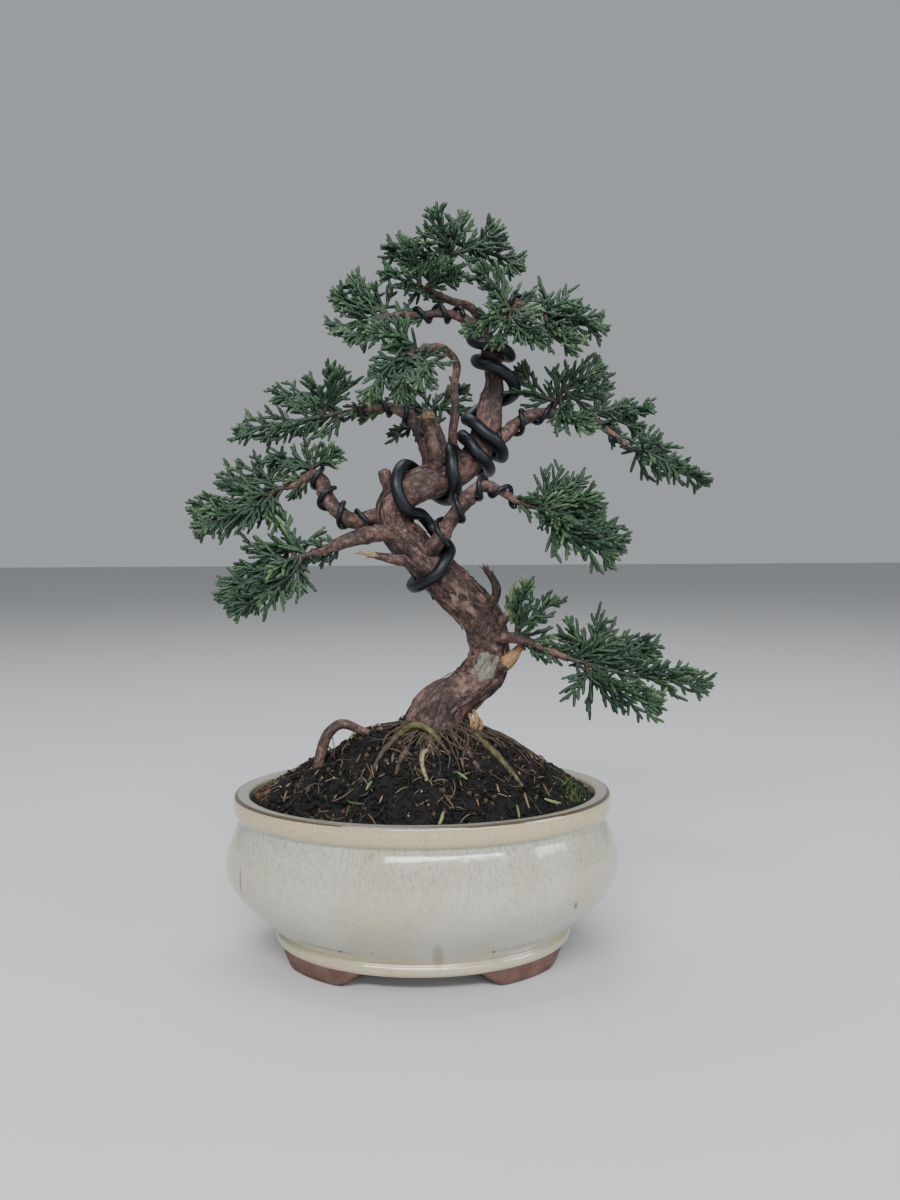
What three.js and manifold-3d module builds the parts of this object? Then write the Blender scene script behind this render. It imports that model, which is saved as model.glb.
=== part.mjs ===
// A juniper trained as a bonsai in an oval glazed pot: the pot with its drain screens, the soil,
// the surface roots, the trunk, living and dead branches, training wires and foliage sprays.
// Millimetres, +Z up. The origin is on the ground, under the middle of the whole plant's box.
import * as THREE from "three";
import { mergeVertices } from "three/addons/utils/BufferGeometryUtils.js";
import Module from "manifold-3d";

const wasm = await Module();
wasm.setup();

// ---- Driving dimensions -------------------------------------------------------------------

const GAP = 0.3; // air left between two pieces that touch
const WIRE_STANDOFF = 0.6; // air between a wire and the bark that it winds round

const POT_WIDTH = 122; // across the belly
const POT_DEPTH = 87; // front to back over the belly
const POT_HEIGHT = 51;
const BELLY_HEIGHT = 29; // height of the widest place
const RIM_WIDTH = 117;
const RIM_LAND = 5; // flat top of the rim
const RIM_BAND = 6; // height of the rolled rim
const NECK_WIDTH = 113; // under the rim
const FOOT_BAND_WIDTH = 92;
const FOOT_BAND_HEIGHT = 3.4;
const FOOT_HEIGHT = 5; // from the ground to the pot's underside
const FOOT_GAP_WIDTH = 36; // opening between the two front feet
const FOOT_GAP_DEPTH = 22; // opening between a front and a back foot
const FOOT_SETBACK = 0.6; // from the foot band in to a foot's top
const FOOT_THICKNESS = 9;
const FOOT_RAKE = 0.4; // how far a foot's face leans in on its way down
const FRONT_SPLAY = 1.3; // slope of the ends of the openings between the front feet
const SIDE_SPLAY = 0.5; // and of those between a front and a back foot
const WALL = 5;
const FLOOR = 5;
const DRAIN_RADIUS = 5;
const DRAIN_SPACING = 40;
const SCREEN_OVERLAP = 3.5; // how far a drain screen covers the floor round its hole
const SCREEN_THICKNESS = 0.8;
const POT_SEGMENTS = 28; // flats round the oval
const DRAIN_SIDES = 12; // flats round a drain hole and its screen
const SOIL_RINGS = 4; // facets of the mound from the wall to the crown

const SOIL_DROP = 2.5; // from the rim down to the soil along the wall
const SOIL_MOUND = 22; // from the rim up to the soil's crown
const SOIL_LUMP = 0.5; // height of the soil's lumps
const CROWN_ROUNDING = 0.12; // how blunt the top of the mound is
const MOUND_FULLNESS = 1.25; // 1 for a straight slope, more for one that bulges
const CLOD_HEIGHT = 3.5; // of the clod that the arching root spans
const CLOD_REACH = 7; // from its middle to where it is down to a third
const CLOD_X = -18;
const CLOD_Y = -5;
const TRUNK_FOOT_X = 4.6; // the trunk stands a little right of the pot's middle

const TREE_HEIGHT = 155; // from the soil's crown to the highest shoot
const TREE_SPREAD = 160; // from the left shoots to the right ones
const TRUNK_RADIUS = 7; // in the lower bend
const BARK_RIDGES = 0.03; // depth of the trunk's furrows, as a share of its radius
const END_DOME = 0.4; // rise of a limb's domed end, as a share of its radius
const BRANCH_RADIUS = 2.4; // of a main branch where it leaves the trunk
const ROOT_RADIUS = 1.6; // of the arching root
const TRUNK_WIRE_RADIUS = 1.9;
const BRANCH_WIRE_RADIUS = 0.75;
const WIRE_SIDES = 6;
const WIRE_TURN_STEP = 45; // degrees of a turn between two points of a wire's route
const TWIG_RADIUS = 0.95;
const TWIG_TAPER = 0.4; // share of its radius that a twig loses on its way
const FROND_HALF_WIDTH = 2;
const FROND_HALF_THICKNESS = 0.75;
const FROND_WIDEST = 0.42; // share of a frond's length at which it is widest
const FROND_FACING = 20; // degrees from the front towards which a frond's flat side looks
const FROND_SCATTER = 80; // degrees by which a frond may leave the plane of its spray
const FROND_START = 0.25; // share of a twig that is bare at its base
const FROND_RUN = 0.7; // share of a twig that bears side fronds
const FROND_LEAN = 1.1; // how much further a frond reaches along its twig than away from it
const FROND_UNEVEN = 0.3; // share by which a frond may be shorter than the longest
const TIP_SHARE = 0.6; // length of a twig's end frond, as a share of its side fronds
const FIRST_FORK = 0.16; // where the first fork leaves its main twig, as a share of its length
const FORK_STEP = 0.1;

// The routes below are drawn for a tree of this size, and stretch with the two sizes above.
const DRAWN_HEIGHT = 155;
const DRAWN_SPREAD = 160;

// ---- Colours ------------------------------------------------------------------------------

const FINISHES = {
  glaze: { color: 0xcfcdb9, roughness: 0.25, metalness: 0 },
  screen: { color: 0x1d1f1e, roughness: 0.6, metalness: 0 },
  soil: { color: 0x1c1714, roughness: 0.95, metalness: 0 },
  bark: { color: 0x5d4a42, roughness: 0.85, metalness: 0 },
  root: { color: 0x6a5a42, roughness: 0.8, metalness: 0 },
  bare_wood: { color: 0xb98a5c, roughness: 0.75, metalness: 0 },
  wire: { color: 0x15171b, roughness: 0.35, metalness: 0.6 },
  foliage: { color: 0x2f5a32, roughness: 0.6, metalness: 0 },
};

// ---- Solids -------------------------------------------------------------------------------

// A closed three.js geometry as a solid that can be joined and cut.
function solidOf(geometry) {
  const bare = geometry.clone();
  bare.deleteAttribute("normal");
  bare.deleteAttribute("uv");
  const merged = mergeVertices(bare, 1e-4);
  return new wasm.Manifold(
    new wasm.Mesh({
      numProp: 3,
      vertProperties: new Float32Array(merged.attributes.position.array),
      triVerts: new Uint32Array(merged.index.array),
    }),
  );
}

// The solid's surface as a three.js geometry.
function geometryOf(solid) {
  const mesh = solid.getMesh();
  const geometry = new THREE.BufferGeometry();
  geometry.setAttribute("position", new THREE.BufferAttribute(mesh.vertProperties, 3));
  geometry.setIndex(new THREE.BufferAttribute(mesh.triVerts, 1));
  geometry.computeVertexNormals();
  return geometry;
}

// The biggest body of a solid: a cut can shave a crumb off beyond the cutter.
function mainBody(solid) {
  const bodies = solid.decompose();
  return bodies.reduce((best, body) => (body.volume() > best.volume() ? body : best));
}

function joined(solids) {
  return solids.reduce((sum, solid) => sum.add(solid));
}

// The solid with every cutter that reaches into it taken away.
function cutBy(solid, cutters) {
  const reaching = cutters.filter((cutter) => solid.intersect(cutter).volume() > 0);
  if (!reaching.length) return solid;
  return mainBody(reaching.reduce((rest, cutter) => rest.subtract(cutter), solid));
}

// ---- Routes and limbs ---------------------------------------------------------------------

const wide = TREE_SPREAD / DRAWN_SPREAD;
const tall = TREE_HEIGHT / DRAWN_HEIGHT;
const soilCrown = POT_HEIGHT + SOIL_MOUND;

// A point of the tree from its place beside the trunk's foot and its height over the soil.
function grown([x, y, z]) {
  return new THREE.Vector3(TRUNK_FOOT_X + x * wide, y * wide, soilCrown + z * tall);
}

// A smooth limb through points that each have a radius.
class Limb {
  constructor(points, radii) {
    this.curve = new THREE.CatmullRomCurve3(points, false, "centripetal");
    this.radii = radii;
    this.last = points.length - 1;
  }

  // The place at a station number, which may lie between two stations.
  at(station) {
    return this.curve.getPoint(THREE.MathUtils.clamp(station / this.last, 0, 1));
  }

  along(station) {
    return this.curve.getTangent(THREE.MathUtils.clamp(station / this.last, 0, 1));
  }

  radius(station) {
    const low = Math.min(Math.floor(station), this.last - 1);
    return THREE.MathUtils.lerp(this.radii[low], this.radii[low + 1], station - low);
  }

  // The unit vector at right angles to the limb: 0 degrees faces the front, 90 its right side.
  outward(station, degrees) {
    const tangent = this.along(station);
    const front = new THREE.Vector3(0, -1, 0).projectOnPlane(tangent).normalize();
    const right = new THREE.Vector3().crossVectors(tangent, front);
    const angle = THREE.MathUtils.degToRad(degrees);
    return front.multiplyScalar(Math.cos(angle)).addScaledVector(right, Math.sin(angle));
  }

  // The limb as a closed tube of rings, grown by extra all round, with domed ends.
  solid({ sides = 7, rings = 2 * this.last + 1, extra = 0, ridges = 0 } = {}) {
    const positions = [];
    const indices = [];
    const stations = Array.from({ length: rings }, (_, i) => (i / (rings - 1)) * this.last);
    let across = this.outward(0, 0);
    for (const station of stations) {
      const centre = this.at(station);
      const tangent = this.along(station);
      across = across.clone().projectOnPlane(tangent).normalize();
      const over = new THREE.Vector3().crossVectors(tangent, across);
      for (let side = 0; side < sides; side++) {
        const angle = (2 * Math.PI * side) / sides;
        const swell = 1 - ridges * (1 + Math.sin(3 * angle + 0.9 * station));
        const radius = this.radius(station) * swell + extra;
        const point = centre.clone();
        point.addScaledVector(across, radius * Math.cos(angle));
        point.addScaledVector(over, radius * Math.sin(angle));
        positions.push(...point);
      }
    }
    for (let ring = 0; ring + 1 < rings; ring++)
      for (let side = 0; side < sides; side++) {
        const next = (side + 1) % sides;
        const a = ring * sides + side;
        const b = ring * sides + next;
        indices.push(a, b, b + sides, a, b + sides, a + sides);
      }
    const dome = (station, sign) => {
      const rise = sign * (END_DOME * this.radius(station) + extra);
      return this.at(station).addScaledVector(this.along(station), rise);
    };
    const start = rings * sides;
    positions.push(...dome(0, -1), ...dome(this.last, 1));
    for (let side = 0; side < sides; side++) {
      const next = (side + 1) % sides;
      indices.push(start, next, side);
      indices.push(start + 1, start - sides + side, start - sides + next);
    }
    const geometry = new THREE.BufferGeometry();
    geometry.setAttribute("position", new THREE.Float32BufferAttribute(positions, 3));
    geometry.setIndex(indices);
    return solidOf(geometry);
  }
}

// Stations are [x, y, z, share], the share being of the limb's named radius.
function limbOf(stations, radius) {
  return new Limb(stations.map(grown), stations.map((station) => radius * station[3]));
}

// ---- Pot ----------------------------------------------------------------------------------

const depthRatio = POT_DEPTH / POT_WIDTH;
const bandTop = FOOT_HEIGHT + FOOT_BAND_HEIGHT;
const rimBottom = POT_HEIGHT - RIM_BAND;
const floorTop = FOOT_HEIGHT + FLOOR;
const mouthWidth = RIM_WIDTH - 2 * RIM_LAND;

// Points from one height to another along a quarter wave, from one radius to another.
function sweep(fromRadius, fromZ, toRadius, toZ, steps, ease) {
  return Array.from({ length: steps }, (_, i) => {
    const t = (i + 1) / steps;
    const radius = THREE.MathUtils.lerp(fromRadius, toRadius, ease(t));
    return new THREE.Vector2(radius, THREE.MathUtils.lerp(fromZ, toZ, t));
  });
}

const swellOut = (t) => Math.sin((t * Math.PI) / 2);
const drawIn = (t) => 1 - Math.cos((t * Math.PI) / 2);

// The half section of the pot's outside, from the middle of its underside up to the rim.
function outerProfile() {
  const band = FOOT_BAND_WIDTH / 2;
  const belly = POT_WIDTH / 2;
  const neck = NECK_WIDTH / 2;
  const rim = RIM_WIDTH / 2;
  return [
    new THREE.Vector2(0, FOOT_HEIGHT),
    new THREE.Vector2(band - 1.8, FOOT_HEIGHT),
    new THREE.Vector2(band, FOOT_HEIGHT + 1.2),
    new THREE.Vector2(band, bandTop - 1),
    new THREE.Vector2(band - 1.2, bandTop),
    ...sweep(band - 1.2, bandTop, belly, BELLY_HEIGHT, 4, swellOut),
    ...sweep(belly, BELLY_HEIGHT, neck, rimBottom - 1.5, 3, drawIn),
    new THREE.Vector2(rim - 0.6, rimBottom),
    new THREE.Vector2(rim, rimBottom + 1.5),
    new THREE.Vector2(rim, POT_HEIGHT - 1.2),
    new THREE.Vector2(rim - 0.8, POT_HEIGHT),
  ];
}

// The half section of the hollow, from the mouth down to the middle of the floor, drawn in by
// inset all round.
function innerProfile(inset) {
  const mouth = mouthWidth / 2 - inset;
  const belly = POT_WIDTH / 2 - WALL - inset;
  const corner = FOOT_BAND_WIDTH / 2 - WALL - inset;
  const bottom = floorTop + inset;
  return [
    new THREE.Vector2(mouth, POT_HEIGHT),
    new THREE.Vector2(mouth, POT_HEIGHT - SOIL_DROP - 2),
    ...sweep(mouth, POT_HEIGHT - SOIL_DROP - 2, belly, BELLY_HEIGHT, 2, swellOut),
    ...sweep(belly, BELLY_HEIGHT, corner, bottom, 3, drawIn),
    new THREE.Vector2(0, bottom),
  ];
}

// A profile, drawn with the solid on its left, turned round Z and pressed to the pot's oval.
function ovalTurned(profile) {
  const geometry = new THREE.LatheGeometry(profile, POT_SEGMENTS);
  geometry.rotateX(Math.PI / 2);
  geometry.scale(1, depthRatio, 1);
  return solidOf(geometry);
}

// An upright cylinder from one height to another.
function uprightCylinder(x, radius, fromZ, toZ) {
  const geometry = new THREE.CylinderGeometry(radius, radius, toZ - fromZ, DRAIN_SIDES);
  geometry.rotateX(Math.PI / 2);
  geometry.translate(x, 0, (fromZ + toZ) / 2);
  return solidOf(geometry);
}

// A straight tunnel under the pot with splayed sides, along Y, or along X when turned.
function footGap(width, length, splay, turned) {
  const top = width / 2;
  const bottom = top + splay * FOOT_HEIGHT;
  const shape = new THREE.Shape();
  shape.moveTo(-bottom, -1);
  shape.lineTo(bottom, -1);
  shape.lineTo(top, FOOT_HEIGHT);
  shape.lineTo(-top, FOOT_HEIGHT);
  const geometry = new THREE.ExtrudeGeometry(shape, { depth: length, bevelEnabled: false });
  geometry.translate(0, 0, -length / 2);
  geometry.rotateX(Math.PI / 2);
  if (turned) geometry.rotateZ(Math.PI / 2);
  return solidOf(geometry);
}

// The drain holes' places along X, by the name of the screen that covers each.
const DRAINS = {
  drain_screen_left: -DRAIN_SPACING / 2,
  drain_screen_right: DRAIN_SPACING / 2,
};

// The pot in one fired piece: body, rim and foot band, four bracket feet and two drain holes.
function potSolid() {
  const body = ovalTurned([...outerProfile(), ...innerProfile(0)]);
  const footOut = FOOT_BAND_WIDTH / 2 - FOOT_SETBACK;
  const footIn = footOut - FOOT_THICKNESS;
  const footRing = ovalTurned([
    new THREE.Vector2(footIn, 0),
    new THREE.Vector2(footOut - FOOT_RAKE, 0),
    new THREE.Vector2(footOut, FOOT_HEIGHT + 1),
    new THREE.Vector2(footIn, FOOT_HEIGHT + 1),
    new THREE.Vector2(footIn, 0),
  ]);
  const feet = footRing
    .subtract(footGap(FOOT_GAP_WIDTH, POT_DEPTH, FRONT_SPLAY, false))
    .subtract(footGap(FOOT_GAP_DEPTH, POT_WIDTH, SIDE_SPLAY, true));
  const drains = Object.values(DRAINS).map((x) => uprightCylinder(x, DRAIN_RADIUS, 0, floorTop + 1));
  return body.add(feet).subtract(joined(drains));
}

// A round plastic screen over one drain hole.
function screenSolid(x) {
  const bottom = floorTop + GAP;
  const radius = DRAIN_RADIUS + SCREEN_OVERLAP;
  return uprightCylinder(x, radius, bottom, bottom + SCREEN_THICKNESS);
}

// ---- Soil ---------------------------------------------------------------------------------

const soilEdge = POT_HEIGHT - SOIL_DROP;
const soilHalfWidth = mouthWidth / 2 - GAP;
const soilHalfDepth = soilHalfWidth * depthRatio;

// The height of the soil: a rounded cone round the trunk's foot that runs out at the wall.
function soilTop(x, y) {
  const out = Math.min(1, Math.hypot(x / soilHalfWidth, y / soilHalfDepth));
  const shifted = x - TRUNK_FOOT_X * (1 - out);
  const reach = Math.min(1, Math.hypot(shifted / soilHalfWidth, y / soilHalfDepth));
  const lumps = SOIL_LUMP * Math.sin(0.31 * x + 1) * Math.sin(0.37 * y) * (1 - out);
  const rounded = Math.hypot(reach, CROWN_ROUNDING) - CROWN_ROUNDING * (1 - reach);
  const fallen = Math.min(1, rounded) ** MOUND_FULLNESS;
  const away = Math.hypot(x - CLOD_X, y - CLOD_Y) / CLOD_REACH;
  const clod = CLOD_HEIGHT * Math.exp(-away * away);
  return soilEdge + (soilCrown - soilEdge) * (1 - fallen) + lumps + clod;
}

// The soil fills the hollow from the drain screens up, and its top follows soilTop.
function soilBody() {
  const bottom = floorTop + 2 * GAP + SCREEN_THICKNESS;
  const hollow = innerProfile(GAP).filter((point) => point.y < soilEdge && point.x > 0);
  const wall = hollow.filter((point) => point.y > bottom);
  const [above, below] = [wall[wall.length - 1], hollow[hollow.length - 1]];
  const share = (bottom - below.y) / (above.y - below.y);
  const corner = THREE.MathUtils.lerp(below.x, above.x, share);
  const profile = [new THREE.Vector2(0, bottom), new THREE.Vector2(corner, bottom)];
  profile.push(...wall.reverse());
  for (let ring = SOIL_RINGS; ring > 0; ring--)
    profile.push(new THREE.Vector2((soilHalfWidth * ring) / SOIL_RINGS, soilEdge));
  profile.push(new THREE.Vector2(0, soilEdge));
  const geometry = new THREE.LatheGeometry(profile, POT_SEGMENTS);
  geometry.rotateX(Math.PI / 2);
  geometry.scale(1, depthRatio, 1);
  const places = geometry.attributes.position;
  for (let i = 0; i < places.count; i++)
    if (places.getZ(i) > soilEdge - 1e-3) places.setZ(i, soilTop(places.getX(i), places.getY(i)));
  return solidOf(geometry);
}

// ---- Trunk and branches -------------------------------------------------------------------

const trunk = limbOf(
  [
    [0, 0, -12, 1.3],
    [0.3, 0, -2, 1.5],
    [2.5, 0, 3.5, 1.2],
    [7, 0.5, 7.2, 1],
    [11.6, 1.2, 10.6, 0.93],
    [15.4, 2, 15, 0.92],
    [16.8, 3, 20.5, 0.93],
    [16, 3, 26, 0.94],
    [13.4, 2, 31.5, 0.93],
    [9.6, 0.8, 36.2, 0.94],
    [5.5, 0, 40, 0.93],
    [1.5, -1, 44, 0.9],
    [-3, -2, 48.8, 0.87],
    [-7.5, -2.8, 53.5, 0.84],
    [-11.3, -3, 58.5, 0.8],
    [-13, -3, 64, 0.74],
    [-10.6, -3, 68.8, 0.74],
    [-5, -2.3, 72, 0.74],
    [1.8, -1, 74.1, 0.74],
    [8.2, 0, 77.7, 0.68],
    [13, 1, 82.4, 0.62],
    [15.8, 2, 89.3, 0.57],
    [16.9, 3, 96.3, 0.53],
    [18.3, 3, 102.5, 0.46],
    [17.9, 2.6, 109, 0.4],
    [16.4, 2, 115, 0.34],
    [14.8, 1.2, 120.5, 0.29],
    [13.8, 1, 124.5, 0.2],
  ],
  TRUNK_RADIUS,
);

// The torn flange of heartwood at the trunk's foot is part of the trunk.
const footFlange = limbOf(
  [
    [8, -5, -6, 0.4],
    [12, -5.5, -1, 0.32],
    [12.6, -5, 2, 0.24],
    [11.6, -3, 5, 0.12],
  ],
  TRUNK_RADIUS,
);

// Living branches, each from inside the trunk or its parent branch to its last foliage.
const BRANCHES = {
  branch_low_left: [
    [-9, -3, 55.5, 1.15],
    [-14.5, -7.5, 57.3, 1.08],
    [-20, -9, 56.8, 1.04],
    [-25.6, -10.4, 55.4, 0.95],
    [-31, -12, 53, 0.6],
    [-36, -12.5, 51.3, 0.45],
  ],
  branch_mid_left: [
    [-12.5, -3, 62.5, 1.1],
    [-18.4, -3.4, 62.6, 1.02],
    [-24.4, -4, 61, 0.96],
    [-29.5, -4, 64, 0.95],
    [-33, -3, 68.6, 0.95],
    [-34.6, -2, 73.2, 0.9],
    [-37, -1, 75.2, 0.8],
    [-41, -0.5, 73.4, 0.5],
    [-46, -0.5, 71.6, 0.42],
  ],
  branch_mid_right: [
    [-2.5, -4.5, 51.5, 1.05],
    [0.8, -9, 54.7, 1],
    [4.4, -11, 60.6, 0.92],
    [8.9, -12, 66.4, 0.88],
    [13.3, -12, 70.6, 0.8],
    [18.3, -12, 70, 0.6],
    [23.6, -12, 66.9, 0.48],
    [28, -12, 64.9, 0.42],
  ],
  branch_upper_right: [
    [12.5, 2, 83, 1],
    [19, 2, 85.6, 0.92],
    [25, 3, 90.7, 0.85],
    [31, 4, 93.9, 0.76],
    [39, 5, 94, 0.62],
    [48.4, 6, 92.8, 0.52],
    [53.5, 5.6, 89.5, 0.46],
    [59, 4, 84.5, 0.4],
  ],
  branch_upper_left: [
    [-1, 1, 76, 0.95],
    [-4, 8, 86.5, 0.85],
    [-8, 9, 94, 0.78],
    [-13.5, 8, 96.8, 0.7],
    [-20, 6, 96.5, 0.56],
    [-27, 4, 95, 0.46],
  ],
  branch_inner: [
    [5.5, 1, 80, 0.7],
    [5.4, -3.5, 87.5, 0.58],
    [6.3, -5.2, 94.7, 0.52],
    [6, -5.6, 101, 0.5],
    [6.6, -6, 107.5, 0.48],
    [2.5, -11, 111.3, 0.45],
    [-3, -16, 110, 0.4],
  ],
  branch_back: [
    [2, 1.5, 76, 0.7],
    [3, 12, 83, 0.55],
    [1, 18, 91, 0.48],
    [-1.5, 19.5, 97, 0.4],
  ],
  branch_low_right: [
    [16.5, 1.5, 24, 0.82],
    [21, -5, 25.6, 0.74],
    [25.3, -8, 25.3, 0.66],
    [33, -9.8, 22.2, 0.5],
    [39, -10, 19.8, 0.42],
  ],
  branch_crown_left: [
    [14.4, 1, 119.6, 0.62],
    [8, -3, 122, 0.58],
    [1.8, -4.6, 122.8, 0.54],
    [-5.7, -6, 121.8, 0.46],
    [-12, -6, 122, 0.38],
  ],
  branch_crown_right: [
    [15.2, 1.2, 120, 0.62],
    [18.6, -1.5, 123.4, 0.55],
    [24.2, -5, 125.6, 0.5],
    [31, -6, 122.6, 0.4],
  ],
  branch_crown_top: [
    [14, 1, 123, 0.5],
    [10.4, 3.2, 127, 0.54],
    [4.8, 4, 128.8, 0.5],
    [-0.6, 2.6, 131.4, 0.46],
    [0.4, 1, 135, 0.42],
    [3.2, 0, 138.6, 0.38],
  ],
};

// Dead side branches: the tips are bare, and the sawn ones end in a flat cut.
const DEAD_BRANCHES = {
  dead_stub_left: [
    [-6, -4, 49, 0.8],
    [-12.3, -7.4, 49.4, 0.62],
    [-17.2, -9.6, 50.6, 0.5],
    [-22.4, -11.4, 51.6, 0.16],
  ],
  sawn_stub_bend: [
    [-11.4, -3, 69, 0.95],
    [-13.8, -4, 72, 0.85],
    [-15, -4.8, 74.6, 0.82],
    [-15.2, -5, 76, 0.8],
  ],
  sawn_stub_upright: [
    [1, -2.5, 76, 0.98],
    [-0.3, -5.6, 81.7, 0.9],
    [-1.4, -6, 87.6, 0.9],
    [-2.3, -6, 92.7, 0.94],
  ],
  dead_twig_right: [
    [13, 0, 33, 0.75],
    [17.4, -4.6, 36.4, 0.58],
    [18.4, -6.2, 40, 0.58],
    [17, -7.4, 43.6, 0.46],
    [14.5, -8.6, 47, 0.26],
  ],
  torn_stub_right: [
    [16, 1, 14.5, 1.3],
    [21, -2, 17, 1],
    [24, -3.4, 20, 0.75],
    [26.9, -3.6, 24, 0.25],
  ],
  torn_tip_right: [
    [16.5, 2, 28, 0.85],
    [21.5, -1.5, 31.4, 0.66],
    [25, -3.6, 37, 0.46],
    [26.6, -4.6, 44, 0.16],
  ],
};

// Surface roots: [x, y, lift, share], the lift being over the soil there.
const ROOTS = {
  root_arch: [
    [-36.5, -8, -3, 1],
    [-35.2, -8, 2.9, 1.1],
    [-32.6, -7.6, 8.2, 1.05],
    [-28.6, -7, 7.6, 0.95],
    [-23, -6, 0.9, 0.9],
    [-18, -5, -3.2, 0.8],
    [-14.4, -4.6, -4, 0.7],
  ],
  root_green_arch: [
    [-13, -8.4, -1.2, 0.6],
    [-9.6, -10, 2.2, 0.62],
    [-6, -11.2, 3.6, 0.62],
    [-2, -12.4, 2.6, 0.6],
    [2, -13.8, -1.2, 0.55],
  ],
  root_pale: [
    [-2.4, -15.6, -0.6, 0.5],
    [-4, -18.4, 1.4, 0.5],
    [-4, -21.4, 1, 0.45],
    [-2.6, -24.6, -0.6, 0.35],
  ],
  root_left_long: [
    [-9.5, -6.5, -0.4, 0.62],
    [-13.6, -11.6, 0.4, 0.56],
    [-17, -17, 0.4, 0.48],
    [-19.4, -23, -0.6, 0.36],
  ],
  root_left_short: [
    [-8, -13.6, -0.4, 0.55],
    [-10, -17.6, 0.4, 0.5],
    [-11.6, -22.6, -0.4, 0.4],
  ],
  root_right_short: [
    [8.5, -11, -0.3, 0.6],
    [9.4, -15, 0.4, 0.55],
    [13.4, -20.6, -0.5, 0.42],
  ],
  root_right_long: [
    [11.4, -7, -0.5, 0.75],
    [15.6, -11.6, 0.5, 0.72],
    [20.6, -16, 0.4, 0.6],
    [25, -20, -0.6, 0.4],
  ],
  root_right_ridge: [
    [12.6, 1.6, -0.6, 0.62],
    [20, 2, 0.5, 0.55],
    [28, 2, 0.4, 0.48],
    [36, 2, -0.6, 0.36],
  ],
};

function rootLimb(stations) {
  const points = stations.map(([x, y, lift]) => {
    const place = new THREE.Vector3(TRUNK_FOOT_X + x, y, 0);
    place.z = soilTop(place.x, place.y) + lift;
    return place;
  });
  return new Limb(points, stations.map((station) => ROOT_RADIUS * station[3]));
}

const limbs = { trunk };
for (const [name, stations] of Object.entries(BRANCHES))
  limbs[name] = limbOf(stations, BRANCH_RADIUS);
for (const [name, stations] of Object.entries(DEAD_BRANCHES))
  limbs[name] = limbOf(stations, BRANCH_RADIUS);
const roots = Object.fromEntries(
  Object.entries(ROOTS).map(([name, stations]) => [name, rootLimb(stations)]),
);

// ---- Wires --------------------------------------------------------------------------------

// Points of a wire lying on a limb, through [station, degrees, lift] marks: the degrees count
// on through every turn, and the lift is how far it stands off the bark.
function wound(limb, marks, wireRadius) {
  const points = [];
  for (let i = 0; i + 1 < marks.length; i++) {
    const [from, to] = [marks[i], marks[i + 1]];
    const steps = Math.max(2, Math.ceil(Math.abs(to[1] - from[1]) / WIRE_TURN_STEP));
    for (let step = i ? 1 : 0; step <= steps; step++) {
      const t = step / steps;
      const station = THREE.MathUtils.lerp(from[0], to[0], t);
      const degrees = THREE.MathUtils.lerp(from[1], to[1], t);
      const lift = THREE.MathUtils.lerp(from[2] ?? 0, to[2] ?? 0, t);
      const off = limb.radius(station) + wireRadius + WIRE_STANDOFF + lift;
      points.push(limb.at(station).addScaledVector(limb.outward(station, degrees), off));
    }
  }
  return points;
}

// Marks of an even coil between two stations of a limb, four to a turn.
function coil(fromStation, toStation, turns, startDegrees) {
  const marks = 4 * Math.abs(turns);
  return Array.from({ length: marks + 1 }, (_, i) => {
    const t = i / marks;
    return [THREE.MathUtils.lerp(fromStation, toStation, t), startDegrees + 360 * turns * t];
  });
}

// A round wire along points, as an extruded section.
function wireSolid(points, radius, stepLength) {
  const curve = new THREE.CatmullRomCurve3(points, false, "centripetal");
  const section = new THREE.Shape();
  section.moveTo(radius, 0);
  for (let side = 1; side < WIRE_SIDES; side++) {
    const angle = (2 * Math.PI * side) / WIRE_SIDES;
    section.lineTo(radius * Math.cos(angle), radius * Math.sin(angle));
  }
  const steps = Math.round(curve.getLength() / stepLength);
  const settings = { steps, extrudePath: curve, bevelEnabled: false };
  return solidOf(new THREE.ExtrudeGeometry(section, settings));
}

// The heavy wire's way up the trunk: it is hooked round the bend's front, then climbs in turns.
const TRUNK_WIRE_MARKS = [
  [11.5, -190],
  [11.6, -95],
  [11.4, 0],
  [11.7, 70],
  [12.4, 95],
  [13.2, 100, 0.8],
  [15.2, 60, 0.3],
  [15.9, 0],
  [16.5, -58],
  [17.05, -118, -0.2],
  [17.6, -195],
  [18.1, -270],
  [18.4, -360],
  [19.2, -450, -0.2],
  [19.5, -540],
  [19.7, -630],
  [19.7, -720],
  [20.35, -810],
  [20.4, -900],
  [20.25, -990, 1.2],
  [20.6, -1080, 0.3],
  [21.3, -1170, 0.6],
  [22.3, -1260],
  [22.9, -1350, 1.2],
  [23.8, -1440, 0.4],
  [24.4, -1530],
  [24.5, -1620],
  [24.2, -1710, 0.8],
  [24.9, -1800],
  [25.5, -1890],
  [26, -1980],
  [26.3, -2070],
];

// The coil of each branch wire: [first station, last station, turns, starting degrees].
const BRANCH_COILS = {
  branch_mid_left: [1.3, 6.4, 4, -60],
  branch_mid_right: [1.2, 6.2, -4, 60],
  branch_upper_right: [1.1, 6.8, -5, 0],
  branch_upper_left: [1.1, 4.6, 3, 0],
  branch_crown_left: [1, 3.6, 3, 0],
  branch_crown_right: [1, 2.8, -2, 0],
};

const wires = {
  trunk_wire: {
    radius: TRUNK_WIRE_RADIUS,
    points: wound(trunk, TRUNK_WIRE_MARKS, TRUNK_WIRE_RADIUS),
  },
};
for (const [branch, turns] of Object.entries(BRANCH_COILS))
  wires[branch.replace("branch", "wire")] = {
    radius: BRANCH_WIRE_RADIUS,
    points: wound(limbs[branch], coil(...turns), BRANCH_WIRE_RADIUS),
  };

// ---- Foliage ------------------------------------------------------------------------------

// A seeded stream of numbers from 0 to 1, so that a spray grows the same way every time.
function seeded(seed) {
  let state = seed;
  return () => {
    state = (state * 1664525 + 1013904223) % 4294967296;
    return state / 4294967296;
  };
}

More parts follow.
